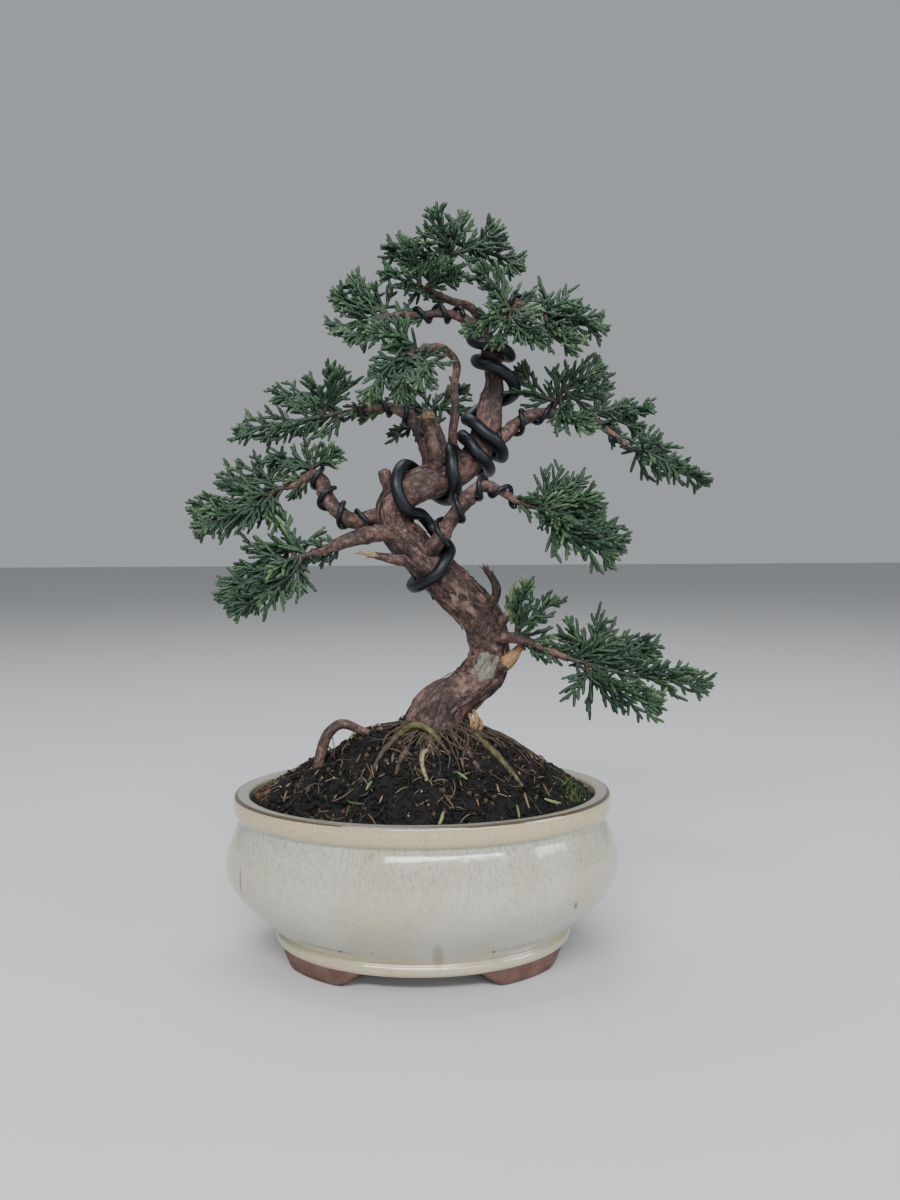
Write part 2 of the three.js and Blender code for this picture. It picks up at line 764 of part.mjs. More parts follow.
// A flat frond: a point at its base, its widest place before the middle, and a point at its tip.
function frondSolid(from, to, facing, extra) {
  const axis = to.clone().sub(from);
  const up = facing.clone().projectOnPlane(axis).normalize();
  const side = new THREE.Vector3().crossVectors(axis, up).normalize();
  const middle = from.clone().addScaledVector(axis, FROND_WIDEST);
  const corners = [
    middle.clone().addScaledVector(side, FROND_HALF_WIDTH + extra),
    middle.clone().addScaledVector(up, FROND_HALF_THICKNESS + extra),
    middle.clone().addScaledVector(side, -FROND_HALF_WIDTH - extra),
    middle.clone().addScaledVector(up, -FROND_HALF_THICKNESS - extra),
  ];
  const flat = [from, ...corners, to].flatMap((point) => [point.x, point.y, point.z]);
  const geometry = new THREE.BufferGeometry();
  geometry.setAttribute("position", new THREE.Float32BufferAttribute(flat, 3));
  geometry.setIndex([0, 1, 2, 0, 2, 3, 0, 3, 4, 0, 4, 1, 5, 2, 1, 5, 3, 2, 5, 4, 3, 5, 1, 4]);
  return solidOf(geometry);
}

// Sprays of scale foliage: the length of the side fronds, how many each twig bears, the main
// twig's route from inside its branch outwards, and the routes of the twigs that fork from it.
const SPRAYS = {
  spray_low_left: {
    reach: 9,
    fronds: 4,
    twig: [[-35, -12.4, 51.6], [-44, -13, 49], [-53, -14, 44.5], [-61, -14.5, 40]],
    forks: [
      [[-42, -14.5, 45.5], [-50, -16, 40], [-56.5, -17, 35.5]],
      [[-42, -8, 53.5], [-50, -6, 51], [-57, -5, 47]],
    ],
  },
  spray_mid_left: {
    reach: 9,
    fronds: 4,
    twig: [[-45, -0.5, 71.9], [-54, -1, 69.5], [-63, -2, 66.5], [-71.5, -3, 65]],
    forks: [
      [[-52, -5, 66.5], [-61, -8, 62.5], [-69, -9, 60]],
      [[-52, 5, 75], [-59, 9, 76], [-66, 11, 74.5]],
    ],
  },
  spray_mid_left_top: {
    reach: 6,
    fronds: 3,
    twig: [[-37, -1, 76], [-39.5, 0.5, 78.5], [-44.5, 2, 80.5], [-50, 3, 81]],
    forks: [
      [[-34, -2, 79.5], [-30.5, -4, 81.5]],
    ],
  },
  spray_upper_left: {
    reach: 8,
    fronds: 4,
    twig: [[-26, 4.2, 95.2], [-38, 3, 93], [-49, 2, 91], [-59, 2, 89.6]],
    forks: [
      [[-34, 8, 99], [-42, 11, 102], [-49, 13, 101]],
      [[-31, 0.5, 100], [-30, -2, 104]],
    ],
  },
  spray_front_left: {
    reach: 7,
    fronds: 3,
    twig: [[-2.4, -15.4, 110.2], [-9, -19, 107.5], [-14.5, -21, 102], [-18, -22, 97]],
    forks: [
      [[-9, -19.5, 111.5], [-15, -22, 113.5]],
      [[-2, -20, 105], [-4, -22.6, 99.5]],
      [[-8, -20, 103], [-10, -22, 96.5]],
    ],
  },
  spray_back: {
    reach: 7,
    fronds: 3,
    twig: [[-1.2, 19.3, 96], [-6, 20.5, 99.5], [-12, 21, 103]],
    forks: [
      [[3.5, 21.5, 100], [8, 22.5, 104]],
      [[-6, 19, 93], [-12, 18, 91]],
    ],
  },
  spray_crown_left: {
    reach: 7,
    fronds: 3,
    twig: [[-11.4, -6, 122], [-19, -7, 121], [-28, -8, 118]],
    forks: [
      [[-17, -4, 127], [-23.5, -3, 132]],
      [[-17, -10.5, 117], [-23, -13, 114]],
      [[-21, -3, 125.5], [-28, -4, 127.5]],
    ],
  },
  spray_crown_top: {
    reach: 7,
    fronds: 3,
    twig: [[3, 0, 138], [6, 0.4, 144.5], [8.8, 1, 151]],
    forks: [
      [[-4, -1, 141], [-12, -2, 143]],
      [[11, -2, 142.5], [18, -3, 147]],
      [[3, 7, 142], [4, 13, 146]],
      [[2.5, -4, 145], [1.5, -6, 150.5]],
      [[14, 3, 143.5], [20, 4, 142], [24.5, 3, 139]],
    ],
  },
  spray_crown_front: {
    reach: 6.5,
    fronds: 3,
    twig: [[-1.6, 2.6, 131], [-7, -4, 132], [-13, -9, 133]],
    forks: [
      [[3, -6, 132], [8, -11, 131.5]],
      [[-5, -4, 137.5], [-8, -6, 142]],
    ],
  },
  spray_crown_right: {
    reach: 8,
    fronds: 4,
    twig: [[30.4, -6, 122.9], [39, -6.5, 120], [48, -7, 118]],
    forks: [
      [[34, -9.5, 116], [39, -12.5, 111]],
      [[36, -1, 125], [42, 3, 126]],
    ],
  },
  spray_crown_middle: {
    reach: 6,
    fronds: 3,
    twig: [[24.4, -5.4, 125.2], [21, -10, 119], [18, -13.5, 113]],
    forks: [
      [[26, -10.5, 120], [27, -14, 114]],
      [[19, -9.5, 128.5], [14, -11, 133]],
      [[24, -13, 117], [30, -16, 111.5]],
      [[17, -11, 120], [10, -14, 115.5]],
    ],
  },
  spray_upper_right: {
    reach: 7,
    fronds: 3,
    twig: [[36, 4.6, 94.6], [39.5, 3, 101], [44.5, 1, 104.5], [49, 0, 106.5]],
    forks: [
      [[31, 3.4, 100.5], [28, 2, 106]],
      [[40, -1, 91.5], [46, -4, 89.5]],
      [[43, 0, 98], [51, -2, 101]],
    ],
  },
  spray_right_shoot: {
    reach: 5.5,
    fronds: 3,
    twig: [[47.6, 6.2, 93.4], [54, 9, 96], [61, 11.5, 97], [68, 12.5, 97]],
    forks: [
      [[60, 12.5, 92.5], [65, 14, 91]],
    ],
  },
  spray_right_droop: {
    reach: 7,
    fronds: 4,
    twig: [[58.4, 4.2, 85], [66, 3.4, 80.5], [75, 2.8, 76], [82, 2.2, 73.5]],
    forks: [
      [[65, -1.5, 81.5], [72, -4.5, 77]],
      [[65, 8, 84], [72, 10, 80.5]],
    ],
  },
  spray_mid_right: {
    reach: 9,
    fronds: 4,
    twig: [[27.4, -12, 65.1], [37, -12, 63], [46, -13, 58.5], [53, -14, 54]],
    forks: [
      [[36, -10, 67.5], [45, -9, 67.5]],
      [[34, -16, 59.5], [42, -18.5, 55], [49, -19.5, 51]],
      [[38, -6, 64.5], [48, -3, 63]],
    ],
  },
  spray_low_right_tuft: {
    reach: 6,
    fronds: 3,
    twig: [[24.4, -8, 26.2], [24.6, -10.5, 33], [27, -11.5, 41]],
    forks: [
      [[29, -11.5, 32], [34.5, -12.5, 36.5]],
    ],
  },
  spray_low_right: {
    reach: 9,
    fronds: 4,
    twig: [[38.4, -10, 20], [52, -10, 16], [66, -9.5, 13], [80, -9, 11]],
    forks: [
      [[46, -14.5, 14], [55, -17, 9.5], [63, -18, 7]],
      [[46, -5, 23], [56, -2, 22.5], [66, 0, 19.5]],
    ],
  },
};

// A twig with its side fronds and its end frond, grown by extra all round.
function twigSolids(twig, spray, firstSide, random, extra) {
  const solids = [twig.solid({ sides: 3, rings: 4, extra })];
  for (let frond = 0; frond < spray.fronds; frond++) {
    const t = (frond + 0.5) / spray.fronds;
    const station = twig.last * (FROND_START + FROND_RUN * t);
    const side = frond % 2 ? -firstSide : firstSide;
    const out = twig.outward(station, side + FROND_SCATTER * (random() - 0.5));
    const aim = twig.along(station).multiplyScalar(FROND_LEAN).add(out).normalize();
    const length = spray.reach * (1 - FROND_UNEVEN * random()) * (1 - FROND_UNEVEN * t);
    const from = twig.at(station);
    const to = from.clone().addScaledVector(aim, length + extra);
    solids.push(frondSolid(from, to, twig.outward(station, FROND_FACING), extra));
  }
  const tip = twig.at(twig.last);
  const back = tip.clone().addScaledVector(twig.along(twig.last), -1);
  const beyond = tip.addScaledVector(twig.along(twig.last), TIP_SHARE * spray.reach + extra);
  solids.push(frondSolid(back, beyond, twig.outward(twig.last, FROND_FACING), extra));
  return solids;
}

// One spray: its main twig and the forks that leave it one after another.
function spraySolid(spray, seed, extra) {
  const random = seeded(seed);
  const grow = (points) => {
    const radii = points.map((_, i) => TWIG_RADIUS * (1 - (TWIG_TAPER * i) / (points.length - 1)));
    return new Limb(points, radii);
  };
  const main = grow(spray.twig.map(grown));
  const solids = twigSolids(main, spray, 90, random, extra);
  for (const [order, route] of spray.forks.entries()) {
    const start = main.at(main.last * (FIRST_FORK + FORK_STEP * order));
    const fork = grow([start, ...route.map(grown)]);
    solids.push(...twigSolids(fork, spray, order % 2 ? 90 : -90, random, extra));
  }
  return joined(solids);
}

// ---- Assembly -----------------------------------------------------------------------------

const pieces = [];
const clearances = {};

function keep(name, solid, finish) {
  pieces.push({ name, solid: mainBody(solid), finish });
}

function trunkSolid(extra) {
  const stem = trunk.solid({ sides: 10, rings: 44, ridges: BARK_RIDGES, extra });
  return stem.add(footFlange.solid({ sides: 6, extra }));
}

keep("trunk", trunkSolid(0), "bark");
clearances.trunk = trunkSolid(GAP);

for (const [name, { radius, points }] of Object.entries(wires)) {
  const stepLength = 3 * radius;
  const solid = wireSolid(points, radius, stepLength);
  keep(name, cutBy(solid, Object.values(clearances)), "wire");
  clearances[name] = wireSolid(points, radius + GAP, stepLength);
}

for (const group of [BRANCHES, DEAD_BRANCHES])
  for (const name of Object.keys(group)) {
    const solid = limbs[name].solid({ sides: 6 });
    const finish = group === BRANCHES ? "bark" : "bare_wood";
    keep(name, cutBy(solid, Object.values(clearances)), finish);
    clearances[name] = limbs[name].solid({ sides: 6, extra: GAP });
  }

for (const [name, root] of Object.entries(roots)) {
  keep(name, cutBy(root.solid({ sides: 6 }), Object.values(clearances)), "root");
  clearances[name] = root.solid({ sides: 6, extra: GAP });
}

keep("soil", cutBy(soilBody(), Object.values(clearances)), "soil");

Object.entries(SPRAYS).forEach(([name, spray], order) => {
  const solid = spraySolid(spray, order + 11, 0);
  keep(name, cutBy(solid, Object.values(clearances)), "foliage");
  clearances[name] = spraySolid(spray, order + 11, GAP);
});

keep("pot", potSolid(), "glaze");
for (const [name, x] of Object.entries(DRAINS)) keep(name, screenSolid(x), "screen");

const plant = new THREE.Group();
for (const { name, solid, finish } of pieces) {
  const mesh = new THREE.Mesh(geometryOf(solid), new THREE.MeshStandardMaterial(FINISHES[finish]));
  mesh.name = name;
  plant.add(mesh);
}
const box = new THREE.Box3().setFromObject(plant);
const middle = box.getCenter(new THREE.Vector3());
plant.position.set(-middle.x, -middle.y, -box.min.z);

const bonsai = new THREE.Group();
bonsai.add(plant);

export default bonsai;
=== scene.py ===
"""A wired juniper bonsai in an oval glazed pot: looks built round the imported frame.

Lengths inside the classes are millimetres from the middle of the pot's foot, and every mesh
is moved to the part's frame, in metres, when it is made.
"""
import logging
import math
from dataclasses import dataclass, field
from enum import Enum
from typing import Any, Sequence

import bpy
import numpy as np
from mathutils import Euler, Matrix, Vector, noise
from mathutils.geometry import delaunay_2d_cdt


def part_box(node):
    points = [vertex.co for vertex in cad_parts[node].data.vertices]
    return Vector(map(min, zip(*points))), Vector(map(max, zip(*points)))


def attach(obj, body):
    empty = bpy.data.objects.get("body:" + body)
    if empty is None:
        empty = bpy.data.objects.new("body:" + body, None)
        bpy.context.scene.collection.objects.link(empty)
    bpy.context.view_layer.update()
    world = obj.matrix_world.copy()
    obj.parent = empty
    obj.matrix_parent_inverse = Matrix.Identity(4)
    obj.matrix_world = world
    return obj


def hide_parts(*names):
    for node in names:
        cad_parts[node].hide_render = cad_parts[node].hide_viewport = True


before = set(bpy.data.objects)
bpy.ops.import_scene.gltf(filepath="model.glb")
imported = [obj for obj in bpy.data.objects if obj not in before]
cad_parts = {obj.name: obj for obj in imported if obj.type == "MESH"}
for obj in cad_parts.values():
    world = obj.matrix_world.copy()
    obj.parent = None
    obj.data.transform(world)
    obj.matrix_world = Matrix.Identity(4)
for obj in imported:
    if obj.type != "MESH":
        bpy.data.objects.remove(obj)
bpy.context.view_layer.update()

LOG = logging.getLogger("bonsai")
MM = 0.001
BODY = "root"

Colour = tuple[float, float, float]
Station = tuple[float, float, float, float]
Point = tuple[float, float, float]
Corner = tuple[float, float]
PLAIN_MARK = (0.5, 1.0, 0.0)


# ---- Shaders ------------------------------------------------------------------------------


def shade(colour: Colour, share: float) -> Colour:
    """A colour with each of its parts times a share."""
    return (colour[0] * share, colour[1] * share, colour[2] * share)


class Kind(Enum):
    """What a shader socket carries."""

    VALUE = "value"
    COLOUR = "colour"
    VECTOR = "vector"


class Link:
    """A shader socket that takes part in Python arithmetic."""

    def __init__(self, surface: "Surface", socket: bpy.types.NodeSocket, kind: Kind) -> None:
        """Wraps a socket.

        Args:
            surface: The material that the socket belongs to.
            socket: The output socket.
            kind: What the socket carries.
        """
        self.surface = surface
        self.socket = socket
        self.kind = kind

    def _work(self, operation: str, left: Any, right: Any) -> "Link":
        """Adds a Math node, or a Vector Math node where a side is a vector.

        Args:
            operation: The node's operation.
            left: The first value or link.
            right: The second value or link.

        Returns:
            The node's result.
        """
        sides = (left, right)
        if any(isinstance(side, Link) and side.kind is not Kind.VALUE for side in sides):
            return self.surface.node(
                "ShaderNodeVectorMath", {"operation": operation}, {0: left, 1: right}, 0,
                Kind.VECTOR,
            )
        return self.surface.node("ShaderNodeMath", {"operation": operation}, {0: left, 1: right})

    def __add__(self, other: Any) -> "Link":
        """Sum."""
        return self._work("ADD", self, other)

    def __radd__(self, other: Any) -> "Link":
        """Reflected sum."""
        return self._work("ADD", other, self)

    def __sub__(self, other: Any) -> "Link":
        """Difference."""
        return self._work("SUBTRACT", self, other)

    def __rsub__(self, other: Any) -> "Link":
        """Reflected difference."""
        return self._work("SUBTRACT", other, self)

    def __mul__(self, other: Any) -> "Link":
        """Product."""
        return self._work("MULTIPLY", self, other)

    def __rmul__(self, other: Any) -> "Link":
        """Reflected product."""
        return self._work("MULTIPLY", other, self)

    def between(self, low: float, high: float) -> "Link":
        """This value eased from 0 at low to 1 at high.

        Args:
            low: The value that gives 0.
            high: The value that gives 1.

        Returns:
            The eased mask.
        """
        settings = {"interpolation_type": "SMOOTHSTEP"}
        return self.surface.node("ShaderNodeMapRange", settings, {0: self, 1: low, 2: high})

    def tint(self, start: Any, end: Any) -> "Link":
        """A colour that goes from one to another as this value goes from 0 to 1.

        Args:
            start: The colour or link at 0.
            end: The colour or link at 1.

        Returns:
            The mixed colour.
        """
        settings = {"data_type": "RGBA"}
        return self.surface.node("ShaderNodeMix", settings, {0: self, 6: start, 7: end}, 2,
                                 Kind.COLOUR)

    def part(self, index: int) -> "Link":
        """One number of a vector.

        Args:
            index: 0, 1 or 2.

        Returns:
            That number.
        """
        return self.surface.node("ShaderNodeSeparateXYZ", {}, {0: self}, index)


class Surface:
    """A procedural material and the nodes that it is built from."""

    def __init__(self, name: str) -> None:
        """Starts an empty material.

        Args:
            name: The material's name.
        """
        self.material = bpy.data.materials.new(name)
        self.material.use_nodes = True
        self.tree = self.material.node_tree
        self.tree.nodes.clear()

    def node(
        self,
        kind: str,
        settings: dict[str, Any],
        inputs: dict[Any, Any],
        output: Any = 0,
        carries: Kind = Kind.VALUE,
    ) -> Link:
        """Adds one node.

        Args:
            kind: The node's type.
            settings: Its settings, which are set before its sockets.
            inputs: Values or links by socket name or number.
            output: The name or number of the output socket that is wanted.
            carries: What that output carries.

        Returns:
            The output, ready for arithmetic.
        """
        made = self.tree.nodes.new(kind)
        for key, value in settings.items():
            setattr(made, key, value)
        for key, value in inputs.items():
            socket = made.inputs[key]
            if isinstance(value, Link):
                self.tree.links.new(value.socket, socket)
            elif hasattr(socket.default_value, "__len__"):
                size = len(socket.default_value)
                if not hasattr(value, "__len__"):
                    value = (value,) * size
                socket.default_value = (*value, 1.0)[:size]
            else:
                socket.default_value = value
        return Link(self, made.outputs[output], carries)

    def attribute(self, name: str) -> Link:
        """A vector that the mesh carries at its points."""
        settings = {"attribute_name": name}
        return self.node("ShaderNodeAttribute", settings, {}, "Vector", Kind.VECTOR)

    def place(self) -> Link:
        """The place on the object, in millimetres."""
        metres = self.node("ShaderNodeTexCoord", {}, {}, "Object", Kind.VECTOR)
        return metres * (1000.0, 1000.0, 1000.0)

    def grain(self, at: Link, scale: float, detail: float = 3.0, rough: float = 0.5) -> Link:
        """Cloudy noise from 0 to 1.

        Args:
            at: The coordinates.
            scale: Features per unit of the coordinates.
            detail: How many finer layers it has.
            rough: How strong the finer layers are.

        Returns:
            The noise.
        """
        inputs = {"Vector": at, "Scale": scale, "Detail": detail, "Roughness": rough}
        return self.node("ShaderNodeTexNoise", {}, inputs, 0)

    def cells(self, at: Link, scale: float) -> Link:
        """Distance from the middle of the nearest of the cells that fill the coordinates.

        Args:
            at: The coordinates.
            scale: Cells per unit of the coordinates.

        Returns:
            The distance.
        """
        inputs = {"Vector": at, "Scale": scale}
        return self.node("ShaderNodeTexVoronoi", {"feature": "F1"}, inputs, "Distance")

    def bump(self, height: Link, depth: float, strength: float = 1.0) -> Link:
        """A normal from a height.

        Args:
            height: The height, from 0 to 1.
            depth: How deep the relief is, in millimetres.
            strength: How much of it shows.

        Returns:
            The normal.
        """
        inputs = {"Height": height, "Distance": depth * MM, "Strength": strength}
        return self.node("ShaderNodeBump", {}, inputs, "Normal", Kind.VECTOR)

    def close(self, sockets: dict[str, Any]) -> bpy.types.Material:
        """Joins a Principled shader to the output.

        Args:
            sockets: Values or links by the shader's socket names.

        Returns:
            The finished material.
        """
        shader = self.node("ShaderNodeBsdfPrincipled", {}, sockets, "BSDF")
        out = self.tree.nodes.new("ShaderNodeOutputMaterial")
        self.tree.links.new(shader.socket, out.inputs["Surface"])
        return self.material


# ---- Finishes -----------------------------------------------------------------------------


@dataclass(frozen=True)
class BarkFinish:
    """Weathered bark: mottled, darker in the cracks as painted shade, rusty in patches, bare where
    it is torn.
    """

    name: str
    deep: Colour = (0.012, 0.0085, 0.008)
    middle: Colour = (0.057, 0.034, 0.03)
    light: Colour = (0.19, 0.133, 0.12)
    rust: Colour = (0.145, 0.06, 0.038)
    bare: Colour = (0.21, 0.2, 0.17)
    fibre: float = 1.9
    stretch: float = 0.15
    relief: float = 0.45
    roughness: float = 0.74

    def material(self) -> bpy.types.Material:
        """Builds the material from the mesh's grain and mark."""
        surface = Surface(self.name)
        grain = surface.attribute("grain")
        mark = surface.attribute("mark")
        tone, crack, bare = mark.part(0), mark.part(1), mark.part(2)
        fibre = surface.grain(grain * (1.0, 1.0, self.stretch), self.fibre, 6.0, 0.66)
        patch = surface.grain(grain * (1.0, 1.0, 0.6), 0.15, 4.0, 0.6)
        mottle = surface.grain(grain * (1.0, 1.0, 0.9), 0.7, 5.0, 0.75)
        fleck = surface.grain(grain, 3.2, 3.0, 0.7)
        level = fibre * 0.25 + mottle * 1.25 + patch * 0.95 + fleck * 0.4 + tone * 0.26 - 1.06
        dark = level.between(0.26, 0.5).tint(self.deep, self.middle)
        rusty = (patch * 0.7 + mottle * 0.5).between(0.58, 0.7)
        dark = (rusty * 0.7).tint(dark, self.rust)
        colour = level.between(0.46, 0.86).tint(dark, self.light)
        # Painted shade: the cracks take the deep colour.
        colour = crack.between(0.0, 0.8).tint(self.deep, colour)
        worn = (bare + mottle * 1.9 + fleck * 0.8 - 1.35).between(0.38, 0.54)
        bare_tone = (fibre * 0.45 + mottle * 0.45 + fleck * 0.25).between(0.44, 0.68)
        bare_tone = bare_tone.tint(shade(self.bare, 0.24), self.bare)
        colour = worn.tint(colour, bare_tone)
        height = fibre * 0.55 + mottle * 0.7 + crack * 0.25 + fleck * 0.2
        return surface.close({
            "Base Color": colour,
            "Roughness": self.roughness - 0.16 * mottle,
            "Specular IOR Level": 0.32,
            "Normal": surface.bump(height, self.relief, 1.0),
        })


@dataclass(frozen=True)
class ShootFinish:
    """Scale foliage: dark in the heart of a spray, partly older growth and partly painted shade,
    and fresher towards the tips.
    """

    name: str = "juniper_shoots"
    # deep and middle colour the shoots near the twigs: older growth, darkened as painted shade in
    # the spray's heart.
    deep: Colour = (0.006, 0.0145, 0.0085)
    middle: Colour = (0.019, 0.047, 0.0235)
    fresh: Colour = (0.056, 0.107, 0.042)
    yellow: Colour = (0.125, 0.165, 0.075)
    wood: Colour = (0.034, 0.026, 0.018)

    def material(self) -> bpy.types.Material:
        """Builds the material: the mark is tone, tip share and woodiness."""
        surface = Surface(self.name)
        grain = surface.attribute("grain")
        mark = surface.attribute("mark")
        tone, tip, wood = mark.part(0), mark.part(1), mark.part(2)
        scales = surface.cells(grain * (1.0, 1.0, 0.8), 1.5)
        fleck = surface.grain(grain, 1.1, 3.0)
        # The tip share lightens the shoots towards their tips: fresher growth there, and painted
        # shade in the spray's heart where the share is low.
        level = tone * 0.55 + tip * 0.3 + fleck * 0.4 - scales * 0.15 - 0.1
        dark = level.between(0.05, 0.5).tint(self.deep, self.middle)
        colour = level.between(0.48, 1.0).tint(dark, self.fresh)
        pale = (tone * 0.8 + tip * 0.5 + fleck * 0.3).between(1.16, 1.5)
        colour = (pale * 0.6).tint(colour, self.yellow)
        colour = wood.tint(colour, self.wood)
        return surface.close({
            "Base Color": colour,
            "Roughness": 0.4 + 0.2 * fleck,
            "Specular IOR Level": 0.4,
            "Normal": surface.bump(1.0 - scales, 0.25, 0.9),
        })


@dataclass(frozen=True)
class WireFinish:
    """Annealed training wire with a black coating."""

    name: str = "training_wire_black"
    coat: Colour = (0.0042, 0.0048, 0.0062)
    rubbed: Colour = (0.018, 0.019, 0.023)

    def material(self) -> bpy.types.Material:
        """Builds the material: drawn lines along the wire and rubbed spots."""
        surface = Surface(self.name)
        grain = surface.attribute("grain")
        drawn = surface.grain(grain * (1.0, 1.0, 0.05), 2.4, 4.0)
        worn = surface.grain(grain, 0.35, 5.0, 0.65)
        colour = (worn.between(0.55, 0.78) * 0.6).tint(self.coat, self.rubbed)
        return surface.close({
            "Base Color": colour,
            "Roughness": 0.31 + 0.22 * worn,
            "Specular IOR Level": 0.36,
            "Specular Tint": (0.8, 0.88, 1.0, 1.0),
            "Normal": surface.bump(drawn + worn * 0.5, 0.05, 0.35),
        })


@dataclass(frozen=True)
class GlazeFinish:
    """Cream glaze that ran down in fine grey streaks and broke to iron brown on the rim's edge."""

    name: str = "cream_glaze"
    cream: Colour = (0.395, 0.365, 0.265)
    pale: Colour = (0.425, 0.425, 0.365)
    grey: Colour = (0.16, 0.175, 0.165)
    band: Colour = (0.42, 0.352, 0.218)
    land: Colour = (0.27, 0.248, 0.195)
    iron: Colour = (0.035, 0.021, 0.014)
    stain: Colour = (0.24, 0.17, 0.09)

    def material(self, middle: Vector, marks: Sequence["GlazeMark"]) -> bpy.types.Material:
        """Builds the material: the mark is edge line, rolled band and rim land.

        Args:
            middle: The middle of the pot's foot in the frame, in millimetres.
            marks: Pin holes, cracks and stains in the glaze.

        Returns:
            The material.
        """
        surface = Surface(self.name)
        place = surface.place() - tuple(middle)
        mark = surface.attribute("mark")
        edge, band, land = mark.part(0), mark.part(1), mark.part(2)
        run = surface.grain(place * (1.0, 1.0, 0.15), 1.5, 4.0, 0.6)
        fine = surface.grain(place * (1.0, 1.0, 0.24), 3.6, 2.0, 0.5)
        high = place.part(2).between(26.0, 42.0)
        broad = surface.grain(place * (1.0, 1.0, 0.6), 0.045, 2.0)
        speck = surface.cells(place * (1.0, 1.0, 0.45), 1.5)
        body = broad.between(0.35, 0.68).tint(self.cream, self.pale)
        streak = (run * 0.65 + fine * 0.5).between(0.53, 0.72)
        body = (streak * (0.28 + 0.34 * high)).tint(body, self.grey)
        dots = (1.0 - speck.between(0.1, 0.3)) * fine.between(0.42, 0.6)
        body = (dots * 0.55).tint(body, shade(self.grey, 0.6))
        rim = (dots * 0.6 + fine.between(0.48, 0.7) * 0.5).tint(self.band, self.stain)
        body = band.tint(body, rim)
        top = (fine * 0.7 + run * 0.5).between(0.45, 0.8)
        top = (top * 0.55).tint(self.land, shade(self.land, 0.55))
        body = land.tint(body, top)
        ragged = (edge + run * 0.5 - 0.25).between(0.3, 0.75)
        body = (ragged * 0.92).tint(body, self.iron)
        for each in marks:
            body = each.drawn(surface, place).tint(body, each.colour)
        ripple = surface.grain(place, 0.14, 2.0)
        height = ripple + run * 0.06 - dots * 0.05
        return surface.close({
            "Base Color": body,
            "Roughness": 0.09 + land * 0.22 + 0.08 * fine,
            "Specular IOR Level": 0.55,
            "Coat Weight": 0.7,
            "Coat Roughness": 0.03,
            "Normal": surface.bump(height, 0.5, 0.45),
        })


@dataclass(frozen=True)
class GlazeMark:
    """A flaw in the glaze: a pin hole where it is round, a crack or a run where it is long."""

    at: Point
    radius: float
    length: float = 0.0
    strength: float = 0.9
    colour: Colour = (0.03, 0.022, 0.018)

    def drawn(self, surface: Surface, place: Link) -> Link:
        """The flaw's mask.

        Args:
            surface: The glaze's material.
            place: Coordinates from the middle of the pot's foot.

        Returns:
            The mask, from 0 to the mark's strength.
        """
        squeeze = self.radius / (self.radius + self.length)
        rough = surface.grain(place, 2.2 / (1.0 + self.radius), 3.0)
        away = (place - self.at) * (1.0, 0.06, squeeze)
        reach = surface.node("ShaderNodeVectorMath", {"operation": "LENGTH"}, {0: away}, "Value")
        spread = reach * (1.0 / self.radius) + rough * 0.9 - 0.45
        return (1.0 - spread.between(0.45, 1.15)) * self.strength


# Pin holes, hair cracks and stains that the glaze has, in millimetres from the foot's middle.
GLAZE_FLAWS = (
    GlazeMark((-55.5, -15.0, 43.2), 0.72, 0.5),
    GlazeMark((-52.5, -20.0, 29.0), 0.4, 4.6, 0.75),
    GlazeMark((-52.0, -21.0, 23.6), 0.3, 2.6, 0.55),
    GlazeMark((-22.5, -36.0, 12.6), 0.66),
    GlazeMark((20.6, -36.0, 12.4), 0.66),
    GlazeMark((-13.0, -38.0, 13.6), 0.5, 0.0, 0.6),
    GlazeMark((44.0, -29.0, 24.5), 0.6, 0.9, 0.75),
    GlazeMark((-51.0, -18.0, 17.5), 0.5, 0.0, 0.5),
    GlazeMark((-9.0, -38.0, 5.6), 0.5, 0.0, 0.6),
    GlazeMark((5.0, -38.0, 12.2), 1.9, 4.4, 0.6, (0.2, 0.14, 0.08)),
    GlazeMark((24.0, -36.0, 14.0), 0.5, 1.6, 0.35, (0.3, 0.25, 0.17)),
    GlazeMark((-15.0, -38.5, 19.0), 1.2, 1.2, 0.25, (0.36, 0.34, 0.27)),
)


@dataclass(frozen=True)
class ClayFinish:
    """Unglazed stoneware, reddish and slightly sandy."""

    name: str = "bare_clay"
    dark: Colour = (0.075, 0.038, 0.031)
    light: Colour = (0.16, 0.095, 0.078)

    def material(self) -> bpy.types.Material:
        """Builds the material."""
        surface = Surface(self.name)
        place = surface.place()
        sand = surface.grain(place, 1.6, 6.0, 0.7)
        cloud = surface.grain(place, 0.16, 3.0)
        colour = (sand * 0.5 + cloud * 0.6).between(0.35, 0.78).tint(self.dark, self.light)
        return surface.close({
            "Base Color": colour,
            "Roughness": 0.62 + 0.2 * sand,
            "Specular IOR Level": 0.3,
            "Normal": surface.bump(sand, 0.18, 0.7),
        })


